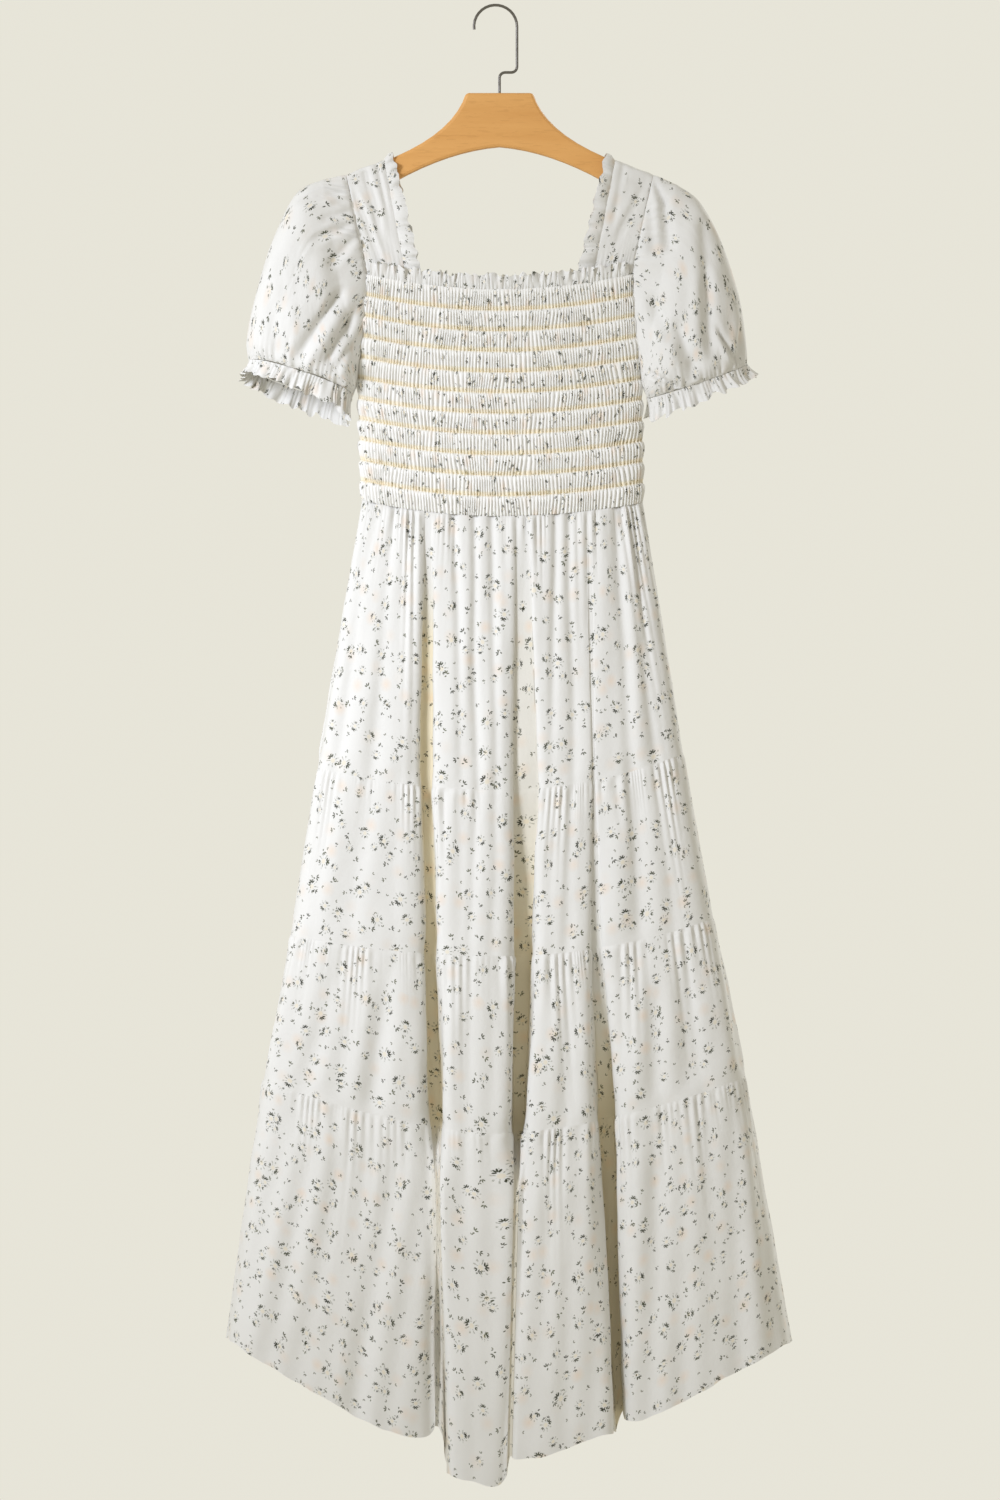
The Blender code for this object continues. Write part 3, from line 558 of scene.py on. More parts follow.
def fold_shade(down, side):
    """Painted shade for the cloth's colour: 1 on the floors of the skirt's deep valleys, fading to 0 up
    their walls.
    """
    x, bulge, _ = section_line(down, side)
    fold = level_value(HALVES[side].fold, down)
    width = np.where(x < 0, -level_value("left", down), level_value("right", down))
    inside = 1 - smooth(0.8, 0.95, np.abs(x) / width)
    shade = (1 - smooth(0.15, 0.8, bulge / max(fold, 1e-6))) * inside * smooth(0.001, 0.014, fold)
    if side < 0:
        # Painted shade on the stretch that rolls into the left valley, and inside the closed valleys
        away = valley_edges(FRONT_VALLEYS[0], down)[1] - x
        rolled = (1 - smooth(0.4 * ROLLED_WIDTH, ROLLED_WIDTH, away)) * (away > -0.0005)
        shade = np.maximum(shade, ROLLED_SHADE * rolled * smooth(CLOSE_FROM, CLOSE_TO, down))
        shade = np.maximum(shade, CLOSED_SHADE * closed_near(x, down, 0.0012))
    return shade


def tier_rows(tier):
    depth = level_value("z_mid", tier) - level_value("z_mid", tier + 1)
    near = np.linspace(0, CLOSE_ROWS_REACH, CLOSE_ROWS)
    rest = np.linspace(CLOSE_ROWS_REACH, depth, 1 + int((depth - CLOSE_ROWS_REACH) / ROW_STEP))
    return np.concatenate([near, rest[1:]]) / depth


def skirt_troughs(grid, rows, tier, side):
    """How far the long soft troughs press a tier's grid in."""
    press = np.zeros(grid.shape[:2])
    x = grid[..., 0] - CENTRE_X
    down = tier + rows
    for i, trough in enumerate(HALVES[side].troughs):
        at = at_level(trough.x, down)[:, None]
        depth = at_level(trough.depth, down)[:, None]
        width = lerp(trough.wide_top, trough.wide_hem, down / 4)[:, None]
        at = at + 0.0012 * wobble(down[:, None], 0.9, i)
        press += depth * hump(x - at, width)
    return press


def gathers(u, spacing, seed, soft=1.0):
    """Ridges unevenly spaced along u, from -1 to 1, with valleys that are sharp at soft 1 and round at 2."""
    phase = u / spacing + 0.8 * wobble(u, spacing * 6.3, seed)
    return 2 * np.abs(np.sin(pi * phase)) ** soft - 1


def skirt_tier(tier, side, finish):
    """Half a tier: its section at each row, with gathers that start at its upper seam and die out below."""
    rows = tier_rows(tier)
    grid = np.stack([skirt_section(tier + share, side) for share in rows])
    shade = np.stack([fold_shade(tier + share, side) for share in rows])
    if side > 0:
        grid, shade = grid[:, ::-1], shade[:, ::-1]
    padded = np.pad(grid, ((0, 0), (1, 1), (0, 0)), mode="reflect", reflect_type="odd")
    grid = (padded[:, :-2] + 2 * padded[:, 1:-1] + padded[:, 2:]) / 4
    below = lengths_along(grid, 0)
    left = lengths_along(grid[::-1], 0)[::-1]
    u = lengths_along(grid, 1)[-1][None, :]
    seed = 3 * tier + (0 if side < 0 else 11)
    size = SEAM_GATHERS if tier else WAIST_GATHERS
    rise = 1 - np.exp(-below / SEAM_RISE)
    press = -skirt_troughs(grid, rows, tier, side) * np.abs(normals_of(grid)[..., 1]) ** 2

    uneven = np.clip(0.55 + 1.1 * wobble(u, 0.083, seed + 2), 0.0, 1.7)
    reach = size.fine_reach * np.clip(1 + 1.1 * wobble(u, 0.037, seed + 1), 0.3, 2.0)
    press += gathers(u, FINE_SPACING, seed, 1.4) * size.fine * uneven * rise * np.exp(-below / reach)
    uneven = np.clip(0.65 + 1.0 * wobble(u, 0.107, seed + 4), 0.0, 1.8)
    if tier > 1 and side < 0:
        uneven = uneven + 0.9 * hump(grid[0, :, 0] - FULLEST_X, FULLEST_WIDTH)[None, :]
    reach = size.broad_reach * np.clip(1 + 0.9 * wobble(u, 0.061, seed + 3), 0.3, size.longest)
    press += gathers(u, size.spacing, seed + 5, 1.6) * size.broad * uneven * rise * np.exp(-below / reach)

    clear = smooth(0, 0.02, left) if tier < 3 else 1.0
    height, length = TIER_WAVES[tier]
    press += height * wobble(u + 0.1 * below, length, seed + 7) * smooth(0, 0.08, below) * clear
    press += 0.0004 * wobble(below + 0.4 * u, 0.083, seed + 9) * smooth(0, 0.02, below) * clear
    if tier:
        press += SEAM_SWELL * rise * np.exp(-below / 0.03)
    press *= smooth(0, 0.006, u) * smooth(0, 0.006, u[0, -1] - u)
    if side < 0:
        x = grid[..., 0] - CENTRE_X
        still = [closed_near(x[i], tier + share, STILL_REACH) for i, share in enumerate(rows)]
        press *= 1 - np.stack(still)
    grid = moved_out(grid, press)
    if tier == 3:
        grid[..., 2] += 0.0008 * wobble(u, 0.037, seed) * smooth(0.5, 1.0, rows)[:, None] ** 3
    cut = tuple(round(float(k), 3) for k in (lengths_along(grid, 1)[:, -1].max(), below[-1].mean()))
    start = (TIER_PRINT_STEP[0] * tier + (BACK_PRINT_START if side > 0 else 0.0), TIER_PRINT_STEP[1] * tier)
    node = f"skirt_tier{tier + 1}_{HALVES[side].name}"
    # The painted shade of the folds goes with the mesh as its fold_shade mark
    cloth_piece(node, Cloth(cut, 1.0, start), grid, finish, marks={"fold_shade": shade})


# Bodice

def stitch_line_z(line, n):
    waist = LEVELS[0]
    share = line / BANDS
    mid = lerp(NECK_MID_Z, waist.z_mid, share)
    side = lerp(NECK_MID_Z + NECK_SAG, np.where(n < 0, waist.z_left, waist.z_right), share)
    return lerp(mid, side, n * n)


def bodice_base(line, n, side):
    """Points of the bodice's base surface for arrays of stitch line and n."""
    marks = (0, ARMHOLE_LINE, UNDERARM_LINE, BANDS)
    halves = (PANEL_TOP_HALF, PANEL_ARMHOLE_HALF, PANEL_UNDERARM_HALF)
    left = np.interp(line, marks, (*halves, -LEVELS[0].left))
    right = np.interp(line, marks, (*halves, LEVELS[0].right))
    edge = np.interp(line, marks, (ARMHOLE_DEPTH, ARMHOLE_LOW_DEPTH, 0.0, 0.0))
    depth = lerp(BODICE_DEPTH_TOP, level_value(HALVES[side].floor, 0), line / BANDS)
    shape = np.maximum(0.0, 1 - np.abs(n) ** BODICE_POWER) ** (1 / BODICE_POWER)
    y = edge + (depth - edge) * shape
    x = CENTRE_X + n * np.where(n < 0, left, right)
    return np.stack(np.broadcast_arrays(x, side * y, stitch_line_z(line, n)), axis=-1)


def spread(count):
    i = np.arange(count + 1)
    return -np.cos(pi * i / count) * 0.35 + (2 * i / count - 1) * 0.65


def smocked_panel(side, finish, thread):
    place = HALVES[side].name
    n = spread(RIBS * COLUMNS_A_RIB[side])[None, :]
    if side > 0:
        n = n[:, ::-1]
    line = np.linspace(0, BANDS, BANDS * ROWS_A_BAND + 1)[:, None]
    grid = bodice_base(line, n, side)
    across = lengths_along(grid, 1)
    middle = across[len(across) // 2]
    u = middle[None, :] / middle[-1]
    band = np.clip(np.floor(line - 1e-6), 0, BANDS - 1)
    t = line - band
    lean = 0.75 * wobble(u + 0.37 * band, 0.31, 2) * (t - 0.5)
    own = 0.8 * wobble(u + 0.61 * band, 0.19, 4) + 2.1 * band
    phase = u * RIBS + 0.16 * wobble(u, 0.11, 5) + lean + own
    rib = 2 * np.abs(np.sin(pi * phase)) ** 0.8 - 1.2
    depth = RIB_DEPTH * (0.22 + 0.78 * smooth(0.08, 0.34, t))
    depth = depth * (1 + 0.22 * wobble(u + 0.23 * band, 0.027, 8 + side))
    depth = depth * np.where(line <= 0.001, 0.3, 1.0)
    rounded = np.where(band == 0, lerp(0.16, 1.0, t), t)
    swell = BAND_SWELL * np.sin(pi * np.clip(rounded, 0, 1) ** 0.52) ** 0.8
    swell = swell * (1 + 0.16 * wobble(u + 0.31 * band, 0.13, 3)) - 0.0006
    fade = smooth(0, 0.012, u) * smooth(0, 0.012, 1 - u)
    base = moved_out(grid, (swell - 0.0001) * fade)
    grid = moved_out(grid, (swell + rib * depth) * fade)
    near = np.maximum(smooth(0.76, 0.92, t), 1 - smooth(0, 0.07, t))
    near = near * ((line > 0.5) & (line < BANDS - 0.6))
    cloth_piece(f"bodice_{place}", BODICE_CLOTH[side], grid, finish, marks={"shirring": near})
    lines = [base[k * ROWS_A_BAND][::2] for k in range(1, BANDS)]
    threads = tube_piece(f"shirring_threads_{place}", lines, THREAD_RADIUS, 5)
    threads.data.materials.append(thread)
    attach(threads, "root")


def neck_ruffle(side, finish):
    """The heading above the first stitch line, which also covers the feet of the straps."""
    u = np.linspace(0, 1, NECK_RUFFLE_COLUMNS[side] + 1)[None, :]
    n = -side * (2 * u - 1) * 0.985
    share = np.linspace(1, 0, 11)[:, None]
    foot = bodice_base(np.zeros((1, 1)), n, side)
    ends = smooth(0, 0.02, u) * smooth(0, 0.02, 1 - u)
    height = (NECK_RUFFLE_HEIGHT + 0.002 * wobble(u, 0.037, 6 + side)) * (0.75 + 0.25 * ends)
    grid = np.repeat(foot, len(share), axis=0)
    pleats = gathers(u, 1 / NECK_PLEATS, 4 + side, 1.5)
    flare = share ** 1.2
    out = 0.002 + flare * (0.0024 + 0.0022 * wobble(u, 0.045, 9 + side) + 0.0016 * pleats)
    out = out + 0.001 * np.sin(pi * share) + 0.0006 * gathers(u, 1 / NECK_RIPPLES, 2) * (1 - share)
    grid[..., 1] += side * np.maximum(out, 0.0008)
    grid[..., 2] += share * (height + 0.0006 * pleats * ends) - 0.0006
    grid[..., 0] += flare * 0.0018 * wobble(u, 0.033, 3)
    cloth_piece(f"neck_ruffle_{HALVES[side].name}", NECK_RUFFLE_CLOTH, grid, finish)


# Straps

def arm_top(x):
    return ARM_TOP_AT_X - ARM_SLOPE * (np.abs(x) - ARM_X)


def strap_line(x_low, x_top, start, count):
    """A line along a strap for x > 0, from its back foot over the hanger's arm to its front foot."""
    n = x_low / PANEL_TOP_HALF
    foot = bodice_base(np.array([0.0]), np.array([n]), 1)[0]
    foot_y, foot_z = foot[1] - 0.0004, foot[2] + 0.0003
    reach = WOOD_ROUND + STRAP_CLEAR
    corner_y = WOOD_THICK / 2 - WOOD_ROUND
    corner_z = arm_top(x_top) - WOOD_ROUND
    turn = np.radians(np.linspace(90, 0, 7))
    over_y = corner_y + reach * np.sin(turn)
    over_z = corner_z + reach * np.cos(turn)
    share = np.linspace(start, 1.0, count, endpoint=False)
    y = np.concatenate([lerp(foot_y, over_y[0], share), over_y])
    z = np.concatenate([lerp(foot_z, over_z[0], share), over_z])
    y = y + 0.003 * np.sin(pi * np.concatenate([share, np.ones(7)])) * (y > 0.0085)
    x = lerp(x_low, x_top, (z - foot_z) / (z[-1] - foot_z))
    back = np.stack([x, y, z], axis=1)
    front = back[::-1] * np.array([1, -1, 1])
    return np.concatenate([back, front])


def strap_rows(lows, tops, start, count):
    return np.stack([strap_line(low, top, start, count) for low, top in zip(lows, tops)], axis=1)


def moved_on_side(rows, press, hand, ring=False):
    """A grid made for x > 0 put on its side of the dress, left at hand -1, and pressed out there."""
    placed = rows * np.array([hand, 1, 1]) + np.array([CENTRE_X, 0, 0])
    if hand < 0:
        placed, press = placed[::-1], press[::-1]
    return moved_out(placed, press, ring)


def strap(word, hand, finish):
    across = np.linspace(0, 1, STRAP_COLUMNS + 1)
    lows = lerp(STRAP_LOW_INNER, PANEL_TOP_HALF, across)
    rows = strap_rows(lows, lerp(STRAP_TOP_INNER, STRAP_TOP_OUTER, across), 0.0, 34)
    across = across[None, :]
    down = np.linspace(-1, 1, rows.shape[0])[:, None]
    press = np.zeros(rows.shape[:2])
    for fold in STRAP_FOLDS[word]:
        along = (np.abs(down) - fold.down_from) / (fold.down_to - fold.down_from)
        at = lerp(fold.across_from, fold.across_to, along) + 0.02 * wobble(down, 0.7, fold.width * 90)
        ends = smooth(-0.15, 0.25, along) * (1 - smooth(0.75, 1.15, along))
        press -= fold.depth * hump(across - at, fold.width) * ends
        press += 0.4 * fold.depth * hump(across - at + 1.7 * fold.width, fold.width) * ends
    press -= 0.0008 * np.exp(-across / 0.035) + 0.0003 * np.exp(-(1 - across) / 0.03)
    press += gathers(across, 0.11, 2) * 0.0008 * np.exp(-(1 - np.abs(down)) / 0.1)
    press += 0.0004 * wobble(2 * down + across, 0.7, 1 + hand)
    press = np.maximum(press, -0.0013) * smooth(0, 0.03, 1 - np.abs(down) + 0.01)
    grid = moved_on_side(rows, press, hand)
    cloth_piece(f"strap_{word}", STRAP_CLOTH, grid, finish, hand)


def strap_ruffle(word, hand, finish):
    shares = np.linspace(1, 0, 11)
    lows = STRAP_LOW_INNER - STRAP_RUFFLE_LOW * shares
    rows = strap_rows(lows, STRAP_TOP_INNER - STRAP_RUFFLE_TOP * shares, 0.1, 84)
    share = shares[None, :]
    along = lengths_along(rows, 0)
    length = along[-1, 0]
    u = along[:, :1]
    ends = smooth(0, 0.012, u) * smooth(0, 0.012, length - u)
    puff = gathers(u, STRAP_PUFF, 3 + hand)
    ripple = gathers(u, STRAP_RIPPLE, 8 + hand)
    flare = share ** 1.1
    press = flare * (0.002 + 0.0021 * puff + 0.0008 * ripple) * (0.3 + 0.7 * ends)
    press += 0.0012 * np.sin(pi * share) * (1 + 0.5 * puff) - 0.0006 * np.exp(-share / 0.05)
    press += 0.0004 * ripple * (1 - share) * smooth(0, 0.1, share)
    edge = flare * (0.0012 * puff + 0.0009 * wobble(u, 0.013, 7 + hand)) * ends
    rows[..., 0] -= np.clip(edge, -0.0022, 0.0022)
    grid = moved_on_side(rows, np.maximum(press, -0.0009), hand)
    cloth_piece(f"strap_ruffle_{word}", STRAP_RUFFLE_CLOTH, grid, finish, hand)


# Sleeves

def armhole_ring(count):
    """The front half of the armhole for x > 0, from the top of the arm to the underarm, evenly spaced."""
    strap_edge = strap_line(PANEL_TOP_HALF, STRAP_TOP_OUTER, 0.0, 12)
    down = strap_edge[len(strap_edge) // 2:]
    side = bodice_base(np.linspace(0.4, UNDERARM_LINE, 12), np.ones(12), -1) - np.array([CENTRE_X, 0, 0])
    line = np.concatenate([[[down[0][0], 0.0, down[0][2]]], down, side])
    length = lengths_along(line[:, None], 0)[:, 0]
    at = np.linspace(0, length[-1], count + 1)
    ring = np.stack([np.interp(at, length, line[:, k]) for k in range(3)], axis=1)
    ring[:, 0] += 0.0002
    return ring


def sleeve_sections(word):
    return [np.array(top + under) for top, under in zip(SLEEVE_TOPS[word], SLEEVE_UNDERS)]


def sleeve_rows(word, count, steps):
    """Half rings of a sleeve for x > 0, as front and back, from the armhole to the cuff."""
    angle = pi * np.linspace(0, 1, count + 1)
    down = (1 - np.cos(angle)) / 2
    out = np.sin(angle).clip(0) ** (2 / SLEEVE_POWER)
    first = armhole_ring(count)
    sections = sleeve_sections(word)
    rows_front, rows_back = [], []
    for along in steps:
        top_x, top_z, under_x, under_z, depth = catmull(sections, max(along - 1, 0.0))
        x, y, z = lerp(top_x, under_x, down), depth * out, lerp(top_z, under_z, down)
        if along < 1:
            x, z = lerp(first[:, 0], x, along), lerp(first[:, 2], z, along)
            y = lerp(-first[:, 1], y, along ** 0.62)
        tilt = CUFF_TILT[word] * (along / len(sections)) ** 3 * out
        rows_front.append(np.stack([x, -y, z + tilt], axis=1))
        rows_back.append(np.stack([x, y, z - tilt], axis=1))
    return np.array(rows_front), np.array(rows_back)


def catmull(values, along):
    k = min(int(along), len(values) - 2)
    t = along - k
    p = [values[min(max(k + i, 0), len(values) - 1)] for i in (-1, 0, 1, 2)]
    return 0.5 * (
        2 * p[1] + (p[2] - p[0]) * t + (2 * p[0] - 5 * p[1] + 4 * p[2] - p[3]) * t * t
        + (3 * p[1] - 3 * p[2] + p[3] - p[0]) * t ** 3
    )


def crease_press(x, z, creases):
    press = np.zeros(x.shape)
    for crease in creases:
        ax, az = crease.x_from, crease.z_from
        dx, dz = crease.x_to - ax, crease.z_to - az
        length = hypot(dx, dz)
        t = ((x - ax) * dx + (z - az) * dz) / length ** 2
        off = ((x - ax) * dz - (z - az) * dx) / length
        width = crease.width * (0.7 + 0.6 * np.clip(t, 0, 1))
        ends = smooth(-0.12, 0.18, t) * (1 - smooth(0.82, 1.12, t))
        press += crease.depth * hump(off, width) * ends
        press -= 0.35 * crease.depth * hump(off - 1.9 * crease.width, crease.width * 1.1) * ends
    return press


def sleeve(word, hand, finish):
    steps = np.concatenate([np.linspace(0, 1, 13)[:-1], np.linspace(1, 5, 34)[:-1], np.linspace(5, 6, 14)])
    front, back = sleeve_rows(word, SLEEVE_HALF_COLUMNS, steps)
    ring = np.concatenate([front, back[:, -2:0:-1]], axis=1)
    columns = ring.shape[1]
    share = np.linspace(0, 1, SLEEVE_HALF_COLUMNS + 1)
    share = np.concatenate([share, share[-2:0:-1]])[None, :]
    in_front = (np.arange(columns) <= SLEEVE_HALF_COLUMNS)[None, :]
    below = lengths_along(ring, 0)
    left = below[-1][None, :] - below
    around = np.arange(columns)[None, :] / columns
    creases = LEFT_CREASES if hand < 0 else RIGHT_CREASES
    pressed = [crease_press(ring[..., 0], ring[..., 2], table) for table in (creases, BACK_CREASES)]
    flat = np.sin(pi * share) ** 0.5
    press = -np.where(in_front, *pressed) * flat
    head = (1 - smooth(0.34, 0.6, share)) * smooth(0, 0.05, share)
    reach = 0.018 * np.clip(1 + 0.9 * wobble(around, 0.05, 3 + hand), 0.35, 2.4)
    rise = 1 - np.exp(-below / 0.003)
    uneven = np.clip(0.8 + 0.9 * wobble(around, 0.09, 4 + hand), 0.1, 1.8)
    fading = head * rise * np.exp(-below / reach)
    press += gathers(around, 1 / HEAD_GATHERS, 2 + hand) * 0.0019 * uneven * fading
    press += 0.002 * head * rise * np.exp(-below / 0.02)
    foot = 0.011 * np.clip(1 + 0.9 * wobble(around, 0.07, 6 + hand), 0.4, 2.4)
    fading = np.exp(-left / foot) * smooth(0, 0.004, left) * flat
    press += gathers(around, 1 / FOOT_GATHERS, 5 + hand) * 0.0017 * fading
    press -= 0.0007 * np.exp(-left / 0.005) * flat
    press += 0.0007 * wobble(around + 0.9 * below, 0.085, 8 + hand) * smooth(0, 0.03, below) * flat
    press += 0.0005 * wobble(around * 0.5 - 2.1 * below, 0.11, 1 + hand) * smooth(0, 0.03, below) * flat
    press *= smooth(0, 0.004, below + 0.0004)
    grid = moved_on_side(ring[:, ::-1], press[:, ::-1], hand, ring=True)
    cloth_piece(f"sleeve_{word}", SLEEVE_CLOTH, grid, finish, hand, ring=True)


def cuff_ruffle(word, hand, finish):
    top_x, top_z, under_x, under_z, cuff_depth = sleeve_sections(word)[-1]
    top = np.array([top_x, 0, top_z])
    under = np.array([under_x, 0, under_z])
    middle, span = (top + under) / 2, np.linalg.norm(top - under)
    chord = (top - under) / span
    down = np.cross((0, -1, 0), chord)
    down = down if down[2] < 0 else -down
    around = (np.arange(CUFF_RUFFLE_COLUMNS) / CUFF_RUFFLE_COLUMNS)[None, :]
    angle = 2 * pi * around
    share = np.linspace(0, 1, 12)[:, None]
    pleats = gathers(around, 1 / CUFF_PLEATS, 6 + hand, 1.3)
    ripple = gathers(around, 1 / CUFF_RIPPLES, 3 + hand)
    wave = (0.0026 * pleats + 0.0032 * wobble(around, 0.075, 2 + hand)) * share ** 1.1 + 0.0007 * ripple
    flare = 1.0 + 0.07 * share - 0.02 * np.sin(pi * share)
    reach = span / 2 * flare + wave
    depth = (cuff_depth - 0.0008) * flare + wave
    out = power(np.sin(angle), 2 / SLEEVE_POWER)
    long = lerp(*CUFF_RUFFLE_LENGTHS, (1 - np.cos(angle)) / 2) * (1 + 0.12 * wobble(around, 0.06, 4 + hand))
    drop = 0.0003 + share * (long + 0.0012 * pleats)
    ring = (
        middle + chord * (reach * np.cos(angle))[..., None]
        + np.array([0, -1, 0]) * (depth * out)[..., None] + down * drop[..., None]
    )
    ring[..., 2] += CUFF_TILT[word] * out
    grid = moved_on_side(ring[:, ::-1], np.zeros(ring.shape[:2]), hand, ring=True)
    cloth_piece(f"cuff_ruffle_{word}", CUFF_RUFFLE_CLOTH, grid, finish, hand, ring=True)


# Materials

class Nodes:
    """Short calls that add nodes to the tree of a material or a world."""

    def __init__(self, owner, shader="Principled BSDF"):
        owner.use_nodes = True
        self.owner = owner
        self.tree = owner.node_tree
        self.shader = self.tree.nodes[shader]

    def add(self, kind, feeds=None, **settings):
        """Adds a node, feeds its sockets by their names or numbers, and gives its outputs."""
        node = self.tree.nodes.new("ShaderNode" + kind)
        for key, value in settings.items():
            setattr(node, key, value)
        self.feed(node, feeds or {})
        return node.outputs

    def feed(self, node, feeds):
        for socket, value in feeds.items():
            if isinstance(value, bpy.types.NodeSocket):
                self.tree.links.new(value, node.inputs[socket])
            else:
                node.inputs[socket].default_value = value

    def surface(self, feeds):
        """Feeds the shader, and gives the finished material or world."""
        self.feed(self.shader, feeds)
        return self.owner

    def math(self, operation, a, b=0.0, clamp=False):
        return self.add("Math", {0: a, 1: b}, operation=operation, use_clamp=clamp)[0]

    def times(self, a, b, clamp=False):
        return self.math("MULTIPLY", a, b, clamp)

    def plus(self, a, b):
        return self.math("ADD", a, b)

    def minus(self, a, b, clamp=False):
        return self.math("SUBTRACT", a, b, clamp)

    def vector(self, operation, a, b=(0, 0, 0)):
        return self.add("VectorMath", {0: a, 1: b}, operation=operation)["Vector"]

    def scaled(self, vector, scale):
        feeds = {0: vector, "Scale": scale}
        return self.add("VectorMath", feeds, operation="SCALE")["Vector"]

    def length(self, vector):
        return self.add("VectorMath", {0: vector}, operation="LENGTH")["Value"]

    def turned(self, vector, angle):
        feeds = {"Vector": vector, "Angle": angle}
        return self.add("VectorRotate", feeds, rotation_type="Z_AXIS")[0]

    def split(self, vector):
        return self.add("SeparateXYZ", {0: vector})[:2]

    def mix(self, factor, a, b):
        return self.add("Mix", {"Factor": factor, 6: a, 7: b}, data_type="RGBA")[2]

    def noise(self, vector, scale, detail=2.0, rough=0.5):
        feeds = {"Vector": vector, "Scale": scale, "Detail": detail, "Roughness": rough}
        return self.add("TexNoise", feeds)[0]

    def bump(self, height, strength=1.0):
        feeds = {"Height": height, "Strength": strength, "Distance": 1.0}
        return self.add("Bump", feeds)[0]

    def mark(self, name):
        """A mark that the mesh carries at its points."""
        return self.add("Attribute", attribute_name=name)["Fac"]

    def object_place(self):
        return self.add("TexCoord")["Object"]

    def scatter(self, place, spacing, start):
        """Spots scattered over the cloth: the place from the nearest spot, turned, and its two chances."""
        moved = self.scaled(self.vector("ADD", place, start), 1 / spacing)
        feeds = {"Vector": moved, "Scale": 1.0, "Randomness": 0.9}
        spot = self.add("TexVoronoi", feeds, voronoi_dimensions="2D", feature="F1")
        away = self.scaled(self.vector("SUBTRACT", moved, spot["Position"]), spacing)
        chance = self.add("SeparateColor", {0: spot["Color"]})
        return self.turned(away, self.times(chance[0], 6.283)), chance[1], chance[2]

    def leaf(self, place, centre, half, tilt):
        """A leaf's mark, 1 inside and 0 outside: an ellipse with half sizes in metres."""
        turned = self.turned(self.vector("SUBTRACT", place, (*centre, 0)), radians(tilt))
        reach = self.length(self.vector("MULTIPLY", turned, (1 / half[0], 1 / half[1], 0)))
        return self.times(self.minus(1.12, reach), 3.5, clamp=True)

    def most(self, *values):
        out = values[0]
        for value in values[1:]:
            out = self.math("MAXIMUM", out, value)
        return out


def new_material(name):
    return Nodes(bpy.data.materials.new(name))


def fan(n, place, root, reach, half, angles):
    """Leaves that spread from one root, their angles in degrees from straight up."""
    leaves = []
    for angle in angles:
        turn = radians(angle)
        centre = (root[0] + reach * sin(turn), root[1] + reach * cos(turn))
        leaves.append(n.leaf(place, centre, half, angle))
    return n.most(*leaves)


def flower_marks(n, place, size):
    """A daisy seen as a ring of thin uneven strokes between its petals, and the dark leaves at its side."""
    place = n.scaled(place, size)
    x, y = n.split(place)
    uneven = n.times(n.noise(place, 260.0, 1.0), 3.0)
    rays = n.math("COSINE", n.plus(n.times(n.math("ARCTAN2", y, x), 9.0), uneven))
    rays = n.times(n.minus(rays, 0.35), 2.6, clamp=True)
    away = n.math("ABSOLUTE", n.minus(n.length(place), DAISY_RADIUS))
    ring = n.times(n.minus(1.0, n.math("DIVIDE", away, 0.0024)), 2.4, clamp=True)
    broken = n.times(n.minus(n.noise(place, 420.0, 1.0), 0.38), 4.0, clamp=True)
    strokes = n.times(n.times(rays, ring), broken)
    leaves = n.most(
        fan(n, place, (0.0, 0.0025), 0.0021, (0.00062, 0.0015), (-66, -22, 18, 60)),
        fan(n, place, (0.0006, -0.0028), 0.0014, (0.0005, 0.0011), (150, 205)),
    )
    heart = n.leaf(place, (0.0, -0.0002), (0.0021, 0.0019), 0)
    return strokes, leaves, heart


def flower_print(n, place, ground):
    """The ground with daisies, sprigs, specks and faint blushes on it."""
    spot, size, leaf_tone = n.scatter(place, *DAISIES)
    strokes, leaves, heart = flower_marks(n, spot, n.plus(0.78, n.times(size, 0.62)))
    spot, size, sprig_tone = n.scatter(place, *SPRIGS)
    spot = n.scaled(spot, n.plus(0.85, n.times(size, 0.7)))
    sprig = n.most(
        fan(n, spot, (0.0, -0.0016), 0.0021, (0.0006, 0.0015), (-56, -12, 38)),
        n.leaf(spot, (0.001, -0.0034), (0.0006, 0.0011), 24),
    )
    spot, chance, _ = n.scatter(place, *SPECKS)
    speck = fan(n, spot, (0.0, -0.0008), 0.0014, (0.00055, 0.0011), (-40, 26))
    speck = n.times(speck, n.math("GREATER_THAN", chance, 0.35))
    spot, chance, _ = n.scatter(place, *BLUSHES)
    blush = n.minus(1.0, n.math("DIVIDE", n.length(spot), BLUSH_RADIUS), clamp=True)
    blush = n.times(blush, n.times(chance, 0.55))
    cloth = n.mix(n.noise(place, 9.0, 3.0), *ground)
    for mark, strength, ink in (
        (blush, 1.0, BLUSH_INK),
        (heart, 0.42, HEART_INK),
        (strokes, 0.76, STROKE_INK),
        (speck, 0.8, SPECK_INK),
        (sprig, 0.94, n.mix(sprig_tone, *SPRIG_INKS)),
        (leaves, 0.97, n.mix(leaf_tone, *LEAF_INKS)),
    ):
        cloth = n.mix(n.times(mark, strength), cloth, ink)
    return cloth


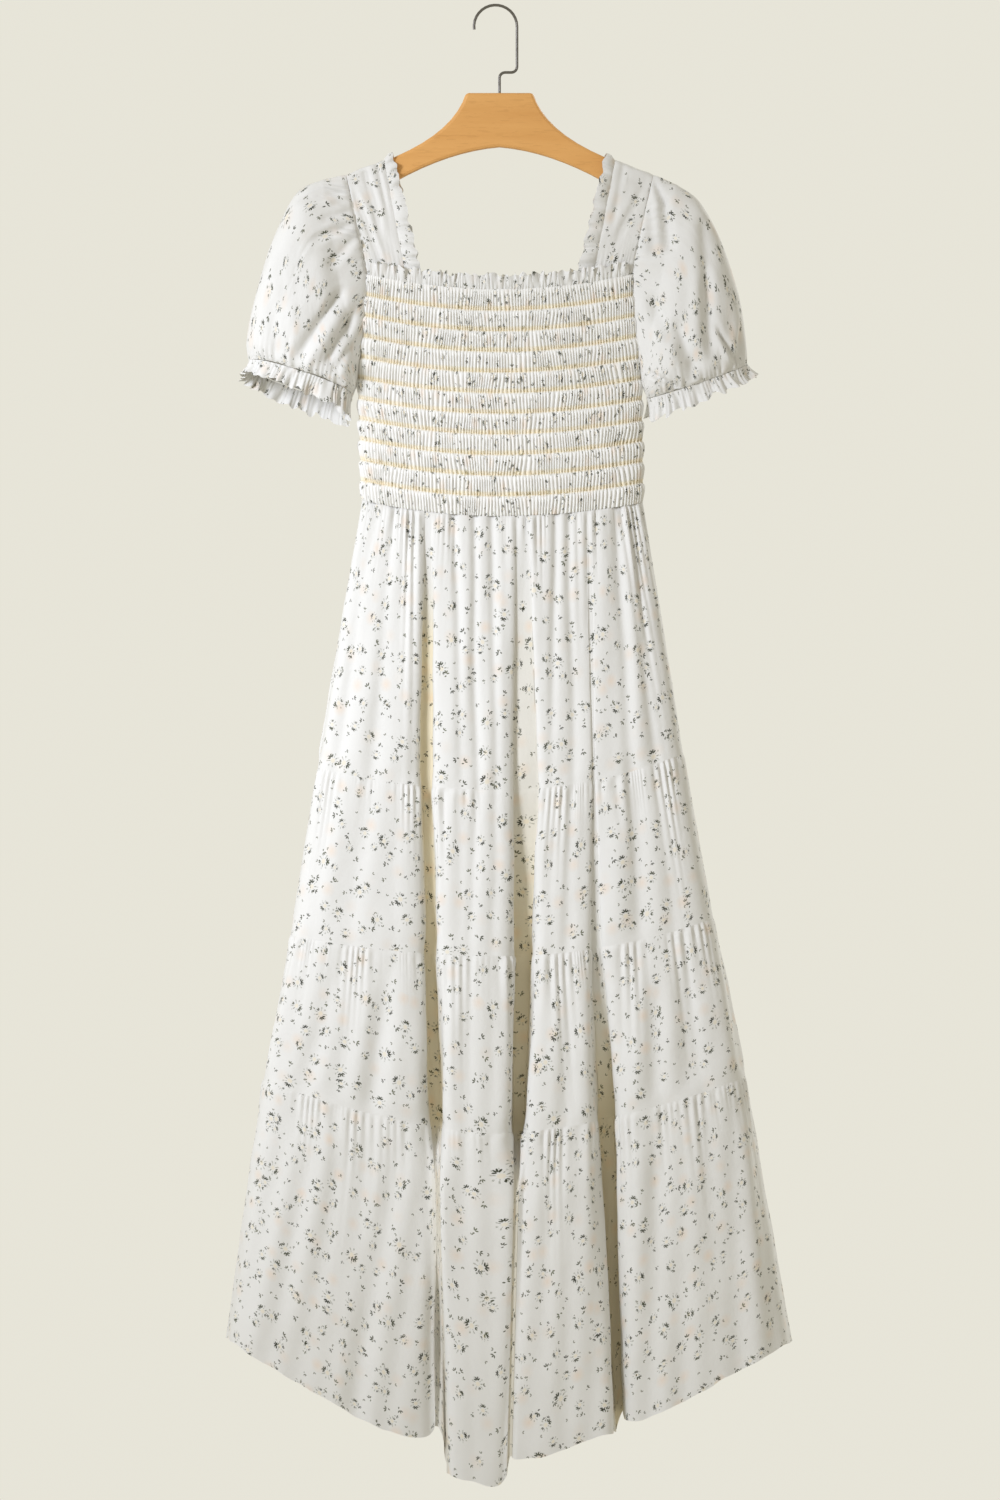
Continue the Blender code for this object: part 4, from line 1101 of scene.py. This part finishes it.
def printed_cotton(name, shirred=False):
    n = new_material(name)
    place = n.add("UVMap", uv_map="cloth")[0]
    # The shirred cloth takes the lighter ground, which is painted light
    cloth = flower_print(n, place, SMOCKED_PAINTED_LIGHT_GROUND if shirred else COTTON_GROUND)
    # Painted shade from the fold_shade mark: greyer in the folds, with painted warm light on the floors of
    # the deep valleys
    fold = n.mark("fold_shade")
    cloth = n.mix(fold, cloth, n.vector("MULTIPLY", cloth, FOLD_SHADE))
    cloth = n.mix(n.math("POWER", fold, 3.0), cloth, n.vector("MULTIPLY", cloth, PAINTED_WARM_FOLD_LIGHT))
    if shirred:
        broken = n.plus(0.3, n.times(n.noise(place, 75.0, 2.0), 0.9))
        tone = n.mix(n.noise(place, 14.0, 1.0), *SHIRRED_TONES)
        cloth = n.mix(n.times(n.times(n.mark("shirring"), broken), 0.7, clamp=True), cloth, tone)
    warp, weft = (n.math("SINE", n.times(k, 2 * pi / WEAVE_PITCH)) for k in n.split(place))
    weave = n.times(n.times(warp, weft), 0.00003)
    rumple = n.times(n.noise(place, 75.0, 4.0, 0.6), 0.0011)
    return n.surface({
        "Base Color": cloth,
        "Roughness": n.plus(0.78, n.times(n.noise(place, 60.0, 2.0), 0.14)),
        "Specular IOR Level": 0.25,
        "Sheen Weight": 0.18,
        "Sheen Roughness": 0.45,
        "Normal": n.bump(n.plus(weave, rumple), 0.55),
    })


def yellow_thread():
    n = new_material("shirring_thread")
    place = n.object_place()
    along = n.plus(n.split(place)[0], n.noise(place, 90.0))
    stitch = n.times(n.plus(n.math("SINE", n.times(along, 2 * pi / TWIST_PITCH)), 1.0), 0.5)
    return n.surface({
        "Base Color": n.mix(stitch, (0.84, 0.66, 0.34, 1), (0.92, 0.82, 0.56, 1)),
        "Roughness": 0.6,
        "Normal": n.bump(n.times(stitch, 0.0002)),
    })


def beech():
    n = new_material("honey_beech")
    place = n.object_place()
    grain = n.noise(n.vector("MULTIPLY", place, (3.0, 30.0, 42.0)), 2.2, 5.0, 0.62)
    fleck = n.noise(n.vector("MULTIPLY", place, (40.0, 300.0, 420.0)), 1.5, 2.0, 0.5)
    tone = n.mix(grain, (0.69, 0.33, 0.09, 1), (0.9, 0.5, 0.17, 1))
    return n.surface({
        "Base Color": n.mix(n.times(n.math("GREATER_THAN", fleck, 0.62), 0.22), tone, (0.52, 0.25, 0.07, 1)),
        "Roughness": n.plus(0.42, n.times(grain, 0.18)),
        "Specular IOR Level": 0.3,
        "Normal": n.bump(n.times(n.plus(grain, fleck), 0.00012)),
    })


def polished_wire():
    n = new_material("nickel_wire")
    wear = n.noise(n.object_place(), 160.0, 3.0, 0.6)
    return n.surface({
        "Base Color": n.mix(wear, (0.17, 0.16, 0.145, 1), (0.3, 0.29, 0.27, 1)),
        "Roughness": n.plus(0.16, n.times(wear, 0.16)),
        "Metallic": 1.0,
    })


def refinish(node, finish):
    for slot in bpy.data.objects[node].material_slots:
        slot.material = finish


# Camera, light and floor

def set_camera():
    data = bpy.data.cameras.new("camera")
    data.sensor_width = SENSOR
    data.lens = SENSOR * CAMERA_AWAY / FRAME_HEIGHT
    camera = put_in_scene("camera", data)
    camera.location = (FRAME_CENTRE[0], -CAMERA_AWAY, FRAME_CENTRE[1])
    camera.rotation_euler = (radians(90), 0, 0)
    bpy.context.scene.camera = camera


def area_light(row):
    data = bpy.data.lights.new(row.name, "AREA")
    data.shape = "RECTANGLE"
    data.size, data.size_y = row.size
    data.energy = row.watts
    data.color = row.colour
    data.spread = radians(row.spread)
    light = put_in_scene(row.name, data)
    light.location = row.place
    light.rotation_euler = (Vector(row.target) - light.location).to_track_quat("-Z", "Y").to_euler()


def set_light():
    """A cool window to the left of the dress, in a cream room that is paler behind the dress."""
    bpy.context.scene.view_settings.view_transform = "Standard"
    n = Nodes(bpy.data.worlds.new("pale_room"), "Background")
    _, y = n.split(n.add("TexCoord")["Generated"])
    feeds = {"Value": y, "From Min": -0.25, "From Max": 0.45}
    behind = n.add("MapRange", feeds, interpolation_type="SMOOTHSTEP")[0]
    bpy.context.scene.world = n.surface({"Color": n.mix(behind, ROOM_FRONT, ROOM_BACK)})
    for row in LIGHTS:
        area_light(row)


def floor():
    data = bpy.data.meshes.new("floor")
    data.from_pydata(FLOOR_CORNERS, [], [(0, 1, 2, 3)])
    piece = put_in_scene("floor", data)
    n = new_material("pale_floor")
    tone = n.mix(n.noise(n.object_place(), 6.0), (0.7, 0.685, 0.63, 1), (0.74, 0.725, 0.67, 1))
    data.materials.append(n.surface({"Base Color": tone, "Roughness": 0.9}))


def main():
    set_camera()
    set_light()
    floor()
    cloth = printed_cotton("ditsy_cotton")
    smocked = printed_cotton("ditsy_cotton_shirred", shirred=True)
    thread = yellow_thread()
    refinish("hanger_bar", beech())
    refinish("hanger_hook", polished_wire())
    for side in (-1, 1):
        smocked_panel(side, smocked, thread)
        neck_ruffle(side, cloth)
        for tier in range(len(LEVELS) - 1):
            skirt_tier(tier, side, cloth)
    for word, hand in (("left", -1), ("right", 1)):
        strap(word, hand, cloth)
        strap_ruffle(word, hand, cloth)
        sleeve(word, hand, cloth)
        cuff_ruffle(word, hand, cloth)


main()
